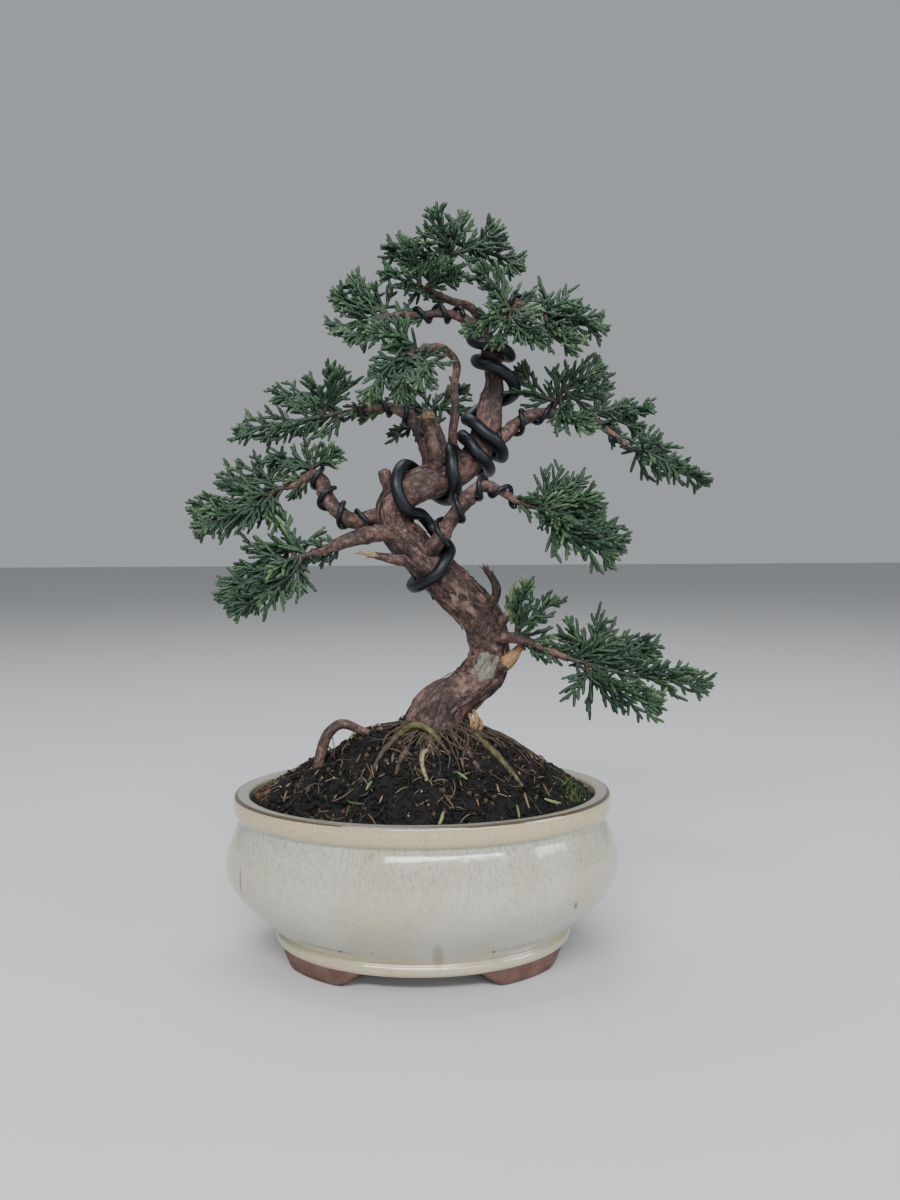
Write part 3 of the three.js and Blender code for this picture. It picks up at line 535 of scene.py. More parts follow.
@dataclass(frozen=True)
class SoilFinish:
    """Moist potting mix: near black, a little browner on its high spots."""

    name: str
    wet: Colour = (0.0026, 0.0023, 0.0025)
    crumb: Colour = (0.0072, 0.006, 0.006)
    fleck: Colour = (0.09, 0.06, 0.035)
    moss: Colour = (0.017, 0.028, 0.01)
    roughness: float = 0.72

    def material(self) -> bpy.types.Material:
        """Builds the material: the mark is tone, fleck and moss."""
        surface = Surface(self.name)
        place = surface.place()
        mark = surface.attribute("mark")
        tone, fleck, moss = mark.part(0), mark.part(1), mark.part(2)
        fine = surface.grain(place, 1.4, 6.0, 0.75)
        cloud = surface.grain(place, 0.12, 3.0)
        level = fine * 0.7 + tone * 0.5 + cloud * 0.3
        colour = level.between(0.45, 1.05).tint(self.wet, self.crumb)
        colour = (fleck * fine.between(0.3, 0.6)).tint(colour, self.fleck)
        green = (moss * 1.2 + fine * 0.6 - 0.6).between(0.3, 0.65)
        colour = (green * 0.85).tint(colour, self.moss)
        return surface.close({
            "Base Color": colour,
            "Roughness": self.roughness - 0.2 * cloud,
            "Specular IOR Level": 0.26,
            "Normal": surface.bump(fine, 0.6, 1.0),
        })


@dataclass(frozen=True)
class LitterFinish:
    """Loose litter whose pieces each have their own tone between two colours."""

    name: str
    dark: Colour
    light: Colour
    roughness: float = 0.75

    def material(self) -> bpy.types.Material:
        """Builds the material: the mark's first number is the piece's tone."""
        surface = Surface(self.name)
        grain = surface.attribute("grain")
        tone = surface.attribute("mark").part(0)
        streak = surface.grain(grain * (1.0, 1.0, 0.25), 2.2, 4.0, 0.6)
        colour = (tone * 0.8 + streak * 0.5 - 0.15).between(0.05, 0.95)
        colour = colour.tint(self.dark, self.light)
        return surface.close({
            "Base Color": colour,
            "Roughness": self.roughness,
            "Specular IOR Level": 0.3,
            "Normal": surface.bump(streak, 0.15, 0.8),
        })


@dataclass(frozen=True)
class ScreenFinish:
    """Black polyethylene drain mesh."""

    name: str = "drain_mesh_black"
    colour: Colour = (0.016, 0.016, 0.017)

    def material(self) -> bpy.types.Material:
        """Builds the material."""
        surface = Surface(self.name)
        cloud = surface.grain(surface.place(), 0.9, 4.0, 0.6)
        colour = cloud.tint(self.colour, shade(self.colour, 2.4))
        return surface.close({
            "Base Color": colour,
            "Roughness": 0.4 + 0.25 * cloud,
            "Normal": surface.bump(cloud, 0.08, 0.6),
        })


@dataclass(frozen=True)
class FloorFinish:
    """A plain pale floor."""

    name: str = "studio_floor"
    colour: Colour = (0.5, 0.505, 0.51)

    def material(self) -> bpy.types.Material:
        """Builds the material."""
        surface = Surface(self.name)
        return surface.close({"Base Color": self.colour, "Roughness": 0.6})


# ---- Routes and meshes --------------------------------------------------------------------


def unit(vector: np.ndarray) -> np.ndarray:
    """The vector, or each row of vectors, at length 1."""
    length = np.linalg.norm(vector, axis=-1, keepdims=True)
    return vector / np.maximum(length, 1e-9)


def smooth(values: Any, low: float, high: float) -> Any:
    """Values eased from 0 at low to 1 at high."""
    share = np.clip((np.asarray(values, float) - low) / (high - low), 0.0, 1.0)
    return share * share * (3.0 - 2.0 * share)


def around(count: int) -> np.ndarray:
    """Angles evenly round a circle."""
    return np.arange(count) * (2 * np.pi / count)


def band_quads(rings: int, sides: int) -> np.ndarray:
    """Faces between closed rings of vertices that are numbered ring by ring.

    Args:
        rings: How many rings.
        sides: Vertices in each.

    Returns:
        Four vertex numbers for each face.
    """
    side = np.arange(sides)
    low = np.arange(rings - 1)[:, None] * sides
    near, far = low + side, low + (side + 1) % sides
    return np.stack([near, far, far + sides, near + sides], axis=2).reshape(-1, 4)


class Route:
    """A smooth curve through stations, each with a radius (a centripetal Catmull-Rom)."""

    def __init__(self, points: Any, radii: Any) -> None:
        """Works out the curve's pieces.

        Args:
            points: The stations' places.
            radii: The radius at each station.
        """
        self.points = np.asarray(points, float)
        self.radii = np.asarray(radii, float)
        self.last = len(self.points) - 1
        p = self.points
        ext = np.vstack([2 * p[0] - p[1], p, 2 * p[-1] - p[-2]])
        gap = np.sqrt(np.maximum(np.linalg.norm(np.diff(ext, axis=0), axis=1), 1e-4))[:, None]
        a, b, c = gap[:-2], gap[1:-1], gap[2:]
        p0, p1, p2, p3 = ext[:-3], ext[1:-2], ext[2:-1], ext[3:]
        t1 = ((p1 - p0) / a - (p2 - p0) / (a + b) + (p2 - p1) / b) * b
        t2 = ((p2 - p1) / b - (p3 - p1) / (b + c) + (p3 - p2) / c) * b
        self.parts = np.stack(
            [p1, t1, -3 * p1 + 3 * p2 - 2 * t1 - t2, 2 * p1 - 2 * p2 + t1 + t2], axis=1
        )

    def _split(self, stations: Any) -> tuple[np.ndarray, np.ndarray]:
        """Each station number as a curve piece and a share of it."""
        number = np.clip(np.atleast_1d(np.asarray(stations, float)), 0, self.last)
        piece = np.minimum(number.astype(int), self.last - 1)
        return piece, (number - piece)[:, None]

    def at(self, stations: Any) -> np.ndarray:
        """Places at station numbers, which may lie between stations."""
        piece, w = self._split(stations)
        c = self.parts[piece]
        return c[:, 0] + w * (c[:, 1] + w * (c[:, 2] + w * c[:, 3]))

    def along(self, stations: Any) -> np.ndarray:
        """Unit directions at station numbers."""
        piece, w = self._split(stations)
        c = self.parts[piece]
        return unit(c[:, 1] + w * (2 * c[:, 2] + 3 * w * c[:, 3]))

    def radius(self, stations: Any) -> np.ndarray:
        """Radii at station numbers."""
        number = np.clip(np.atleast_1d(np.asarray(stations, float)), 0, self.last)
        return np.interp(number, np.arange(self.last + 1), self.radii)

    def outward(self, stations: Any, degrees: Any) -> np.ndarray:
        """Unit vectors across the route: 0 degrees faces the front, 90 its right side."""
        tangent = self.along(stations)
        front = np.array([0.0, -1.0, 0.0]) + tangent * tangent[:, 1:2]
        front = unit(front)
        right = np.cross(tangent, front)
        angle = np.radians(np.atleast_1d(degrees))[:, None]
        return front * np.cos(angle) + right * np.sin(angle)

    def stations(self, step: float) -> np.ndarray:
        """Station numbers about a step apart along the curve.

        Args:
            step: The wanted distance in millimetres.

        Returns:
            The station numbers, from 0 to the last.
        """
        dense = np.linspace(0, self.last, 24 * self.last + 1)
        length = np.concatenate([[0], np.cumsum(np.linalg.norm(np.diff(self.at(dense), axis=0),
                                                               axis=1))])
        count = max(3, int(round(length[-1] / step)) + 1)
        return np.interp(np.linspace(0, length[-1], count), length, dense)


@dataclass
class Mesher:
    """Collects closed forms, each vertex with its grain and mark, and makes one object."""

    co: list[np.ndarray] = field(default_factory=list)
    grain: list[np.ndarray] = field(default_factory=list)
    mark: list[np.ndarray] = field(default_factory=list)
    quads: list[np.ndarray] = field(default_factory=list)
    tris: list[np.ndarray] = field(default_factory=list)
    slots: list[tuple[int, int]] = field(default_factory=list)
    count: int = 0

    def add(
        self, co: np.ndarray, quads: Any, tris: Any, mark: Any = PLAIN_MARK,
        grain: np.ndarray | None = None,
    ) -> None:
        """Adds one form.

        Args:
            co: Its vertices.
            quads: Faces of four, by vertex number.
            tris: Faces of three.
            mark: One mark for all of it, or one for each vertex.
            grain: Its own texture coordinates; its places where there are none.
        """
        self.co.append(co)
        self.grain.append(co if grain is None else grain)
        self.mark.append(np.broadcast_to(np.asarray(mark, float), (len(co), 3)))
        if len(quads):
            self.quads.append(np.asarray(quads, int) + self.count)
        if len(tris):
            self.tris.append(np.asarray(tris, int) + self.count)
        self.count += len(co)

    def tube(
        self, centres: np.ndarray, radii: np.ndarray, sides: int, mark: Any = PLAIN_MARK,
        flat: float = 1.0, face: Any = None, dome: float = 0.5, relief: Any = None,
    ) -> None:
        """Adds a closed tube.

        Args:
            centres: The middle of each ring.
            radii: The radius of each ring.
            sides: Vertices round a ring.
            mark: One mark, one for each ring, or one for each vertex.
            flat: Thickness across as a share of the width.
            face: The direction that a flat tube's broad side looks in.
            dome: Rise of the ends, as a share of the radius.
            relief: Works out heights and marks, as a Relief does, or None.
        """
        n = len(centres)
        tangent = unit(np.gradient(centres, axis=0))
        across = np.empty_like(centres)
        first = np.array([0.0, -1.0, 0.0]) if face is None else np.asarray(face, float)
        if abs(first @ tangent[0]) > 0.9:
            first = np.array([1.0, 0.0, 0.3])
        for i in range(n):
            first = first - tangent[i] * (first @ tangent[i])
            first = first / max(np.linalg.norm(first), 1e-9)
            across[i] = first
        over = np.cross(tangent, across)
        angle = around(sides)
        run = np.concatenate([[0], np.cumsum(np.linalg.norm(np.diff(centres, axis=0), axis=1))])
        r = np.repeat(np.asarray(radii, float)[:, None], sides, axis=1)
        grain = np.stack([r * np.cos(angle), r * np.sin(angle),
                          np.repeat(run[:, None], sides, axis=1)], axis=2)
        marks = np.asarray(mark, float)
        if marks.ndim == 2:
            marks = np.repeat(marks[:, None, :], sides, axis=1)
        marks = np.broadcast_to(marks, (n, sides, 3))
        if relief is not None:
            height, marks = relief(grain, r, centres, across, over)
            r = r + height
        ring = (centres[:, None, :]
                + across[:, None, :] * (flat * r * np.cos(angle))[:, :, None]
                + over[:, None, :] * (r * np.sin(angle))[:, :, None])
        ends = np.stack([centres[0] - tangent[0] * radii[0] * dome,
                         centres[-1] + tangent[-1] * radii[-1] * dome])
        j = np.arange(sides)
        k = (j + 1) % sides
        top = (n - 1) * sides
        tris = np.vstack([np.stack([np.full(sides, n * sides), k, j], axis=1),
                          np.stack([np.full(sides, n * sides + 1), top + j, top + k], axis=1)])
        self.add(
            np.vstack([ring.reshape(-1, 3), ends]), band_quads(n, sides), tris,
            np.vstack([marks.reshape(-1, 3), marks[0, 0], marks[-1, 0]]),
            np.vstack([grain.reshape(-1, 3), [0, 0, 0], [0, 0, run[-1]]]),
        )

    def slot(self, index: int) -> None:
        """Every form added from here on takes the object's material of this number."""
        self.slots.append((sum(len(q) for q in self.quads), sum(len(t) for t in self.tris)))
        if len(self.slots) != index:
            raise ValueError("material slots are taken in order")

    def make(self, name: str, materials: Sequence[bpy.types.Material], to: str) -> Any:
        """Makes the object in the part's frame, and rides it on the body.

        Args:
            name: The piece's name.
            materials: Its materials, in the order of the slots.
            to: The record's material slot; not used.

        Returns:
            The object.
        """
        co = (np.vstack(self.co) + PLACE.middle) * MM
        quads = np.vstack(self.quads) if self.quads else np.zeros((0, 4), int)
        tris = np.vstack(self.tris) if self.tris else np.zeros((0, 3), int)
        mesh = bpy.data.meshes.new(name)
        mesh.vertices.add(len(co))
        mesh.vertices.foreach_set("co", co.ravel())
        loops = np.concatenate([quads.ravel(), tris.ravel()])
        totals = np.concatenate([np.full(len(quads), 4), np.full(len(tris), 3)])
        mesh.loops.add(len(loops))
        mesh.loops.foreach_set("vertex_index", loops)
        mesh.polygons.add(len(totals))
        mesh.polygons.foreach_set("loop_start", np.concatenate([[0], np.cumsum(totals)[:-1]]))
        if self.slots:
            number = np.zeros(len(totals), int)
            for quad_from, tri_from in self.slots:
                number[quad_from:len(quads)] += 1
                number[len(quads) + tri_from:] += 1
            mesh.polygons.foreach_set("material_index", number)
        for label, values in (("grain", self.grain), ("mark", self.mark)):
            layer = mesh.attributes.new(label, "FLOAT_VECTOR", "POINT")
            layer.data.foreach_set("vector", np.vstack(values).ravel())
        mesh.update(calc_edges=True)
        mesh.validate()
        mesh.shade_smooth()
        for material in materials:
            mesh.materials.append(material)
        made = bpy.data.objects.new(name, mesh)
        bpy.context.scene.collection.objects.link(made)
        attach(made, BODY)
        LOG.info("%s: %d faces", name, len(totals))
        return made


@dataclass(frozen=True)
class Place:
    """Where the pot and the tree stand in the part's frame."""

    middle: np.ndarray
    soil_crown: float = 73.0
    trunk_foot: float = 4.6

    def grown(self, stations: Any) -> np.ndarray:
        """Places of the tree, from places beside the trunk's foot and heights over the soil."""
        return np.asarray(stations, float)[:, :3] + [self.trunk_foot, 0.0, self.soil_crown]

    def limb(self, stations: Sequence[Station], radius: float) -> Route:
        """A limb of the tree.

        Args:
            stations: Places, each with a share of the radius.
            radius: The limb's named radius.

        Returns:
            Its route.
        """
        return Route(self.grown(stations), [radius * station[3] for station in stations])


def pot_place() -> Place:
    """Reads the middle of the pot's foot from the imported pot, in millimetres."""
    low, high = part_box("pot")
    return Place(np.array([(low.x + high.x) / 2, (low.y + high.y) / 2, low.z]) / MM)


PLACE = pot_place()


# ---- Pot ----------------------------------------------------------------------------------


def quarter_wave(start: Corner, end: Corner, steps: int, swell: bool) -> list[Corner]:
    """Profile points along a quarter wave, without the first.

    Args:
        start: Radius and height to start from.
        end: Radius and height to end at.
        steps: How many points.
        swell: True where the curve leaves steeply and arrives upright.

    Returns:
        The points, each a radius and a height.
    """
    points = []
    for step in range(1, steps + 1):
        t = step / steps
        wave = math.sin(t * math.pi / 2) if swell else 1 - math.cos(t * math.pi / 2)
        points.append((start[0] + (end[0] - start[0]) * wave, start[1] + (end[1] - start[1]) * t))
    return points


@dataclass
class Pot:
    """The oval pot: one fired piece with a rolled rim, a foot band and four bracket feet."""

    width: float = 122.0
    depth: float = 87.0
    height: float = 51.0
    belly_height: float = 29.0
    rim: float = 58.5
    neck: float = 56.5
    mouth: float = 53.5
    underside: float = 5.0
    underside_radius: float = 44.2
    floor: float = 10.0
    floor_radius: float = 41.0
    wall: float = 5.0
    drain_radius: float = 5.0
    drain_spacing: float = 40.0
    drain_segments: int = 32
    foot_outer: float = 45.4
    foot_start: float = 19.0
    foot_sweep: float = 50.0
    foot_sections: int = 44
    segments: int = 260

    @property
    def squash(self) -> float:
        """Depth as a share of width."""
        return self.depth / self.width

    def profile(self) -> tuple[np.ndarray, np.ndarray]:
        """The half section from the underside's edge, up over the rim and down to the floor.

        Returns:
            Radius and height of each point, and its mark: edge line, rolled band, rim land.
        """
        belly = self.width / 2
        rim, top, neck, mouth = self.rim, self.height, self.neck, self.mouth
        band_top, groove, inner = (44.8, 8.7), (neck, 43.4), (mouth, 46.5)
        widest = (belly, self.belly_height)
        hollow = (belly - self.wall, self.belly_height)
        band_low = [(self.underside_radius, self.underside), (44.9, 5.05), (45.6, 5.35),
                    (46.0, 5.9), (46.15, 6.6), (46.05, 7.3), (45.7, 7.9), (45.2, 8.25),
                    (44.85, 8.45), band_top]
        body = quarter_wave(band_top, widest, 22, True)
        body += quarter_wave(widest, groove, 16, False)
        rolled = [(56.45, 43.9), (56.6, 44.35), (57.05, 44.7), (57.7, 45.0), (58.2, 45.5),
                  (rim, 46.2), (58.62, 47.0), (58.66, 47.8), (58.62, 48.6), (rim, 49.4),
                  (58.38, 49.9), (58.25, 50.2), (58.08, 50.5), (57.85, 50.72), (57.6, 50.88)]
        land = [(57.3, 50.97), (56.9, top), (56.2, 51.0), (55.4, 50.97), (54.7, 50.9),
                (54.2, 50.78), (53.85, 50.55), (53.6, 50.2), (mouth, 49.6)]
        inside = [(mouth, 48.0), inner] + quarter_wave(inner, hollow, 6, True)
        inside += quarter_wave(hollow, (self.floor_radius, self.floor), 8, False)
        at = np.array(band_low + body + rolled + land + inside)
        mark = np.zeros((len(at), 3))
        first = len(band_low) + len(body)
        turn = first + len(rolled)
        height = at[:, 1]
        outside = np.arange(len(at)) < turn + len(land)
        mark[:, 1] = outside * smooth(height, 44.2, 45.6)
        mark[:turn, 0] = smooth(height[:turn], 50.1, 50.45)
        mark[turn:turn + 2, 0] = (0.75, 0.1)
        mark[turn:turn + len(land), 2] = 1.0
        mark[turn - 1, 2] = 0.4
        mark[:first, 1] = 0.55 * (1 - smooth(height[:first], 8.0, 12.0))
        return at, mark

    def oval(self, radius: np.ndarray, height: np.ndarray, angle: np.ndarray) -> np.ndarray:
        """Places on the oval body, a little uneven as a pressed pot is.

        Args:
            radius: Half widths.
            height: Heights.
            angle: Angles round the oval.

        Returns:
            The places.
        """
        wobble = 0.12 * np.sin(2 * angle + 0.09 * height) + 0.1 * np.sin(5 * angle - 0.07 * height)
        wobble = wobble * smooth(height, 6.0, 14.0) * (1 - smooth(height, 40.0, 45.0))
        r = radius + wobble
        return np.stack([r * np.cos(angle), self.squash * r * np.sin(angle), height], axis=-1)

    def body(self, mesher: Mesher) -> None:
        """Adds the turned body between the underside's edge and the floor's edge."""
        at, mark = self.profile()
        r, a = np.meshgrid(at[:, 0], around(self.segments), indexing="ij")
        z = np.repeat(at[:, 1:2], self.segments, axis=1)
        mesher.add(self.oval(r, z, a).reshape(-1, 3), band_quads(len(at), self.segments), [],
                   np.repeat(mark, self.segments, axis=0))

    def plate(self, mesher: Mesher, radius: float, height: float, up: bool) -> None:
        """Adds the level underside or floor, with its two drain holes.

        Args:
            mesher: What collects it.
            radius: Its half width.
            height: Its height.
            up: True where it faces up.
        """
        rim = self.oval(np.full(self.segments, radius), np.full(self.segments, height),
                        around(self.segments))
        small = around(self.drain_segments)
        loops = [rim[:, :2]]
        for side in (-1, 1):
            x = side * self.drain_spacing / 2
            loops.append(np.stack([x + self.drain_radius * np.cos(small),
                                   self.drain_radius * np.sin(small)], axis=1))
        flat = np.vstack(loops)
        edges, start = [], 0
        for loop in loops:
            edges += [(start + i, start + (i + 1) % len(loop)) for i in range(len(loop))]
            start += len(loop)
        made = delaunay_2d_cdt([Vector(p) for p in flat], edges, [], 1, 1e-5)
        places = np.array([tuple(p) for p in made[0]])
        tris = np.array([face for face in made[2]])
        centre = places[tris].mean(axis=1)
        clear = np.ones(len(tris), bool)
        for side in (-1, 1):
            away = centre - [side * self.drain_spacing / 2, 0.0]
            clear &= np.hypot(away[:, 0], away[:, 1]) > self.drain_radius * 0.99
        tris = tris[clear]
        a, b, c = (places[tris[:, i]] for i in range(3))
        turned = ((b - a)[:, 0] * (c - a)[:, 1] - (b - a)[:, 1] * (c - a)[:, 0]) > 0
        tris[turned != up] = tris[turned != up][:, ::-1]
        mesher.add(np.column_stack([places, np.full(len(places), height)]), [], tris)

    def drain_walls(self, mesher: Mesher) -> None:
        """Adds the walls of the two drain holes."""
        count = self.drain_segments
        small = around(count)
        for side in (-1, 1):
            rings = [np.stack([side * self.drain_spacing / 2 + self.drain_radius * np.cos(small),
                               self.drain_radius * np.sin(small), np.full(count, z)], axis=1)
                     for z in (self.underside, self.floor)]
            mesher.add(np.vstack(rings), band_quads(2, count)[:, [1, 0, 3, 2]], [])

    def feet(self, mesher: Mesher) -> None:
        """Adds the four bracket feet, flat under their middles and drawn up at both ends."""
        top = self.underside + 0.5
        shape = [(0.0, 0.0), (0.04, 0.3), (0.14, 0.6), (0.4, 0.82), (0.95, 0.95), (1.8, 1.0),
                 (4.4, 1.0), (7.2, 1.0), (8.2, 0.96), (8.9, 0.8), (9.2, 0.45), (9.2, 0.0)]
        sections = self.foot_sections
        for quarter in range(4):
            flip_x = -1 if quarter in (1, 2) else 1
            flip_y = -1 if quarter >= 2 else 1
            rings = []
            for i in range(sections):
                u = i / (sections - 1)
                angle = math.radians(self.foot_start + self.foot_sweep * u)
                end = abs(2 * u - 1)
                drop = top * (1 - float(smooth(end, 0.46, 1.06)) ** 1.2)
                ring = []
                for inset, share in shape:
                    r = self.foot_outer - inset
                    z = top - drop * share
                    ring.append((flip_x * r * math.cos(angle),
                                 flip_y * self.squash * r * math.sin(angle), z))
                rings.append(ring)
            co = np.array(rings).reshape(-1, 3)
            n = len(shape)
            i, j = np.meshgrid(np.arange(sections - 1), np.arange(n), indexing="ij")
            k = (j + 1) % n
            quads = np.stack([i * n + j, i * n + k, (i + 1) * n + k, (i + 1) * n + j],
                             axis=2).reshape(-1, 4)
            ends = np.array([[0, q + 1, q] for q in range(1, n - 1)])
            far = (sections - 1) * n
            tris = np.vstack([ends, far + ends[:, ::-1]])
            if flip_x * flip_y < 0:
                quads, tris = quads[:, ::-1], tris[:, ::-1]
            mesher.add(co, quads, tris)

    def build(self) -> None:
        """Makes the pot, and hides the plain one."""
        mesher = Mesher()
        self.body(mesher)
        mesher.slot(1)
        self.plate(mesher, self.underside_radius, self.underside, False)
        self.plate(mesher, self.floor_radius, self.floor, True)
        self.drain_walls(mesher)
        self.feet(mesher)
        glaze = GlazeFinish().material(Vector(PLACE.middle), GLAZE_FLAWS)
        pot = mesher.make("pot_body", [glaze, ClayFinish().material()], "pot_glaze")
        pot.data.set_sharp_from_angle(angle=math.radians(50))
        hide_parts("pot")


@dataclass
class DrainScreens:
    """The two round plastic meshes over the drain holes."""

    radius: float = 8.4
    strand: float = 0.34
    pitch: float = 1.5
    hem: float = 0.38
    strand_points: int = 9
    hem_points: int = 49
    height: float = 10.7

    def build(self) -> None:
        """Makes each mesh from crossed strands in a round hem."""
        finish = ScreenFinish().material()
        for name, side in (("drain_screen_left", -1), ("drain_screen_right", 1)):
            mesher = Mesher()
            x = side * Pot.drain_spacing / 2
            count = int(self.radius / self.pitch)
            for number in range(-count, count + 1):
                off = number * self.pitch
                reach = math.sqrt(self.radius ** 2 - off ** 2)
                run = np.linspace(-reach, reach, self.strand_points)
                wave = 0.08 * np.cos(run * math.pi / self.pitch + number * math.pi)
                level = np.full(self.strand_points, off)
                thick = np.full(self.strand_points, self.strand)
                along = np.stack([x + run, level, self.height + wave], axis=1)
                athwart = np.stack([x + level, run, self.height - wave], axis=1)
                mesher.tube(along, thick, 6)
                mesher.tube(athwart, thick, 6)
            turn = np.linspace(0, 2 * np.pi, self.hem_points)
            hem_radius = self.radius - 0.3
            ring = np.stack([x + hem_radius * np.cos(turn), hem_radius * np.sin(turn),
                             np.full(self.hem_points, self.height)], axis=1)
            mesher.tube(ring, np.full(self.hem_points, self.hem), 6)
            made = mesher.make(f"{name}_mesh", [finish], "drain_mesh")
            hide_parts(name)


# ---- Soil ---------------------------------------------------------------------------------


def noise_at(co: np.ndarray, scale: float, octaves: int = 1, offset: float = 0.0) -> np.ndarray:
    """Smooth noise from about -1 to 1 at places.

    Args:
        co: The places.
        scale: Features per unit.
        octaves: How many layers, each twice as fine as the last.
        offset: Shifts the pattern.

    Returns:
        One number for each place.
    """
    if octaves == 1:
        return np.array([noise.noise(Vector(p) * scale + Vector((offset, 0, 0))) for p in co])
    return np.array([noise.fractal(Vector(p) * scale + Vector((offset, 0, 0)), 0.9, 2.0, octaves)
                     for p in co])


ICO = np.array(
    [(0, 0, 1)]
    + [(0.894 * math.cos(a * math.tau / 5), 0.894 * math.sin(a * math.tau / 5), 0.447)
       for a in range(5)]
    + [(0.894 * math.cos((a + 0.5) * math.tau / 5), 0.894 * math.sin((a + 0.5) * math.tau / 5),
        -0.447) for a in range(5)]
    + [(0, 0, -1)]
)
ICO_FACES = np.array(
    [(0, 1 + a, 1 + (a + 1) % 5) for a in range(5)]
    + [(1 + a, 6 + a, 1 + (a + 1) % 5) for a in range(5)]
    + [(1 + (a + 1) % 5, 6 + a, 6 + (a + 1) % 5) for a in range(5)]
    + [(11, 6 + (a + 1) % 5, 6 + a) for a in range(5)]
)


@dataclass
class Soil:
    """The mound of potting mix and the litter that lies on it."""

    edge: float = 48.5
    crown: float = 73.0
    half_width: float = 53.2
    squash: float = Pot.depth / Pot.width
    bottom: float = 11.5
    fullness: float = 1.25
    clod: Point = (-18.0, -5.0, 3.5)
    clod_reach: float = 7.0
    crumb_count: int = 6400
    grit_count: int = 120
    chip_count: int = 270
    fibre_count: int = 250
    cut_count: int = 22
    tuft_count: int = 24
    foot_crumb_count: int = 520
    foot_fibre_count: int = 110
    rings: int = 120
    segments: int = 300
    seed: int = 5

    def top(self, x: Any, y: Any) -> Any:
        """Height of the smooth mound at places."""
        half_depth = self.half_width * self.squash
        x, y = np.asarray(x, float), np.asarray(y, float)
        out = np.minimum(1, np.hypot(x / self.half_width, y / half_depth))
        shifted = x - PLACE.trunk_foot * (1 - out)
        reach = np.minimum(1, np.hypot(shifted / self.half_width, y / half_depth))
        lumps = 0.5 * np.sin(0.31 * x + 1) * np.sin(0.37 * y) * (1 - out)
        rounded = np.hypot(reach, 0.12) - 0.12 * (1 - reach)
        fallen = np.minimum(1, rounded) ** self.fullness
        away = np.hypot(x - self.clod[0], y - self.clod[1]) / self.clod_reach
        clod = self.clod[2] * np.exp(-away * away)
        return self.edge + (self.crown - self.edge) * (1 - fallen) + lumps + clod

    def spots(self, count: int, rng: np.random.Generator, reach: float = 0.97) -> np.ndarray:
        """Random places on the mound.

        Args:
            count: How many.
            rng: The stream of random numbers.
            reach: How near the wall they come, as a share.

        Returns:
            The places.
        """
        angle = rng.uniform(0, 2 * np.pi, count)
        out = reach * np.sqrt(rng.uniform(0.0, 1, count))
        x = self.half_width * out * np.cos(angle)
        y = self.half_width * self.squash * out * np.sin(angle)
        return np.stack([x, y, self.top(x, y)], axis=1)

    def moss(self, co: np.ndarray) -> np.ndarray:
        """How mossy the soil is at places: at the right edge and behind on the left."""
        right = 1 - smooth(np.hypot((co[:, 0] - 47) / 9, (co[:, 1] + 9) / 12), 0.5, 1.15)
        rear = 1 - smooth(np.hypot((co[:, 0] + 40) / 12, (co[:, 1] - 13) / 9), 0.5, 1.15)
        return np.maximum(right, rear)

    def mound(self) -> None:
        """Makes the mound, rough with clods and grains."""
        out = np.linspace(0, 1, self.rings)[1:] ** 0.9
        turn = around(self.segments)
        o, a = np.meshgrid(out, turn, indexing="ij")
        x = (self.half_width * o * np.cos(a)).ravel()
        y = (self.half_width * self.squash * o * np.sin(a)).ravel()
        co = np.stack([x, y, self.top(x, y)], axis=1)
        co = np.vstack([co, [0, 0, float(self.top(0, 0))]])
        clods = noise_at(co, 0.16, 1, 7.0)
        grains = noise_at(co, 0.42, 4, 3.0)
        fine = noise_at(co, 1.25, 2, 11.0)
        calm = 1 - smooth(np.hypot(co[:, 0] / self.half_width,
                                   co[:, 1] / self.half_width / self.squash), 0.93, 1.0)
        lift = (0.7 * clods + 0.95 * grains + 0.35 * fine) * (0.3 + 0.7 * calm)
        co[:, 2] += lift
        mark = np.stack([0.5 + 0.5 * grains, np.zeros(len(co)), self.moss(co)], axis=1)
        j = np.arange(self.segments)
        k = (j + 1) % self.segments
        quads = band_quads(len(out), self.segments)[:, [0, 3, 2, 1]]
        tris = np.stack([np.full(self.segments, len(co) - 1), j, k], axis=1)
        start = len(co)
        wall = [(self.half_width - 0.1, 44.0), (51.0, 30.0), (42.0, self.bottom)]
        for radius, height in wall:
            ring = np.stack([radius * np.cos(turn), radius * self.squash * np.sin(turn),
                             np.full(self.segments, height)], axis=1)
            co = np.vstack([co, ring])
        co = np.vstack([co, [0, 0, self.bottom]])
        mark = np.vstack([mark, np.tile((0.5, 0.0, 0.0), (len(co) - start, 1))])
        rim = (len(out) - 1) * self.segments
        starts = [rim] + [start + i * self.segments for i in range(3)]
        for upper, lower in zip(starts, starts[1:]):
            quads = np.vstack([quads, np.stack([upper + j, lower + j, lower + k, upper + k],
                                               axis=1)])
        tris = np.vstack([tris, np.stack([np.full(self.segments, len(co) - 1),
                                          starts[-1] + k, starts[-1] + j], axis=1)])
        mesher = Mesher()
        mesher.add(co, quads, tris, mark)
        made = mesher.make("soil_mound", [SoilFinish("potting_mix").material()], "soil_mix")
        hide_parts("soil")

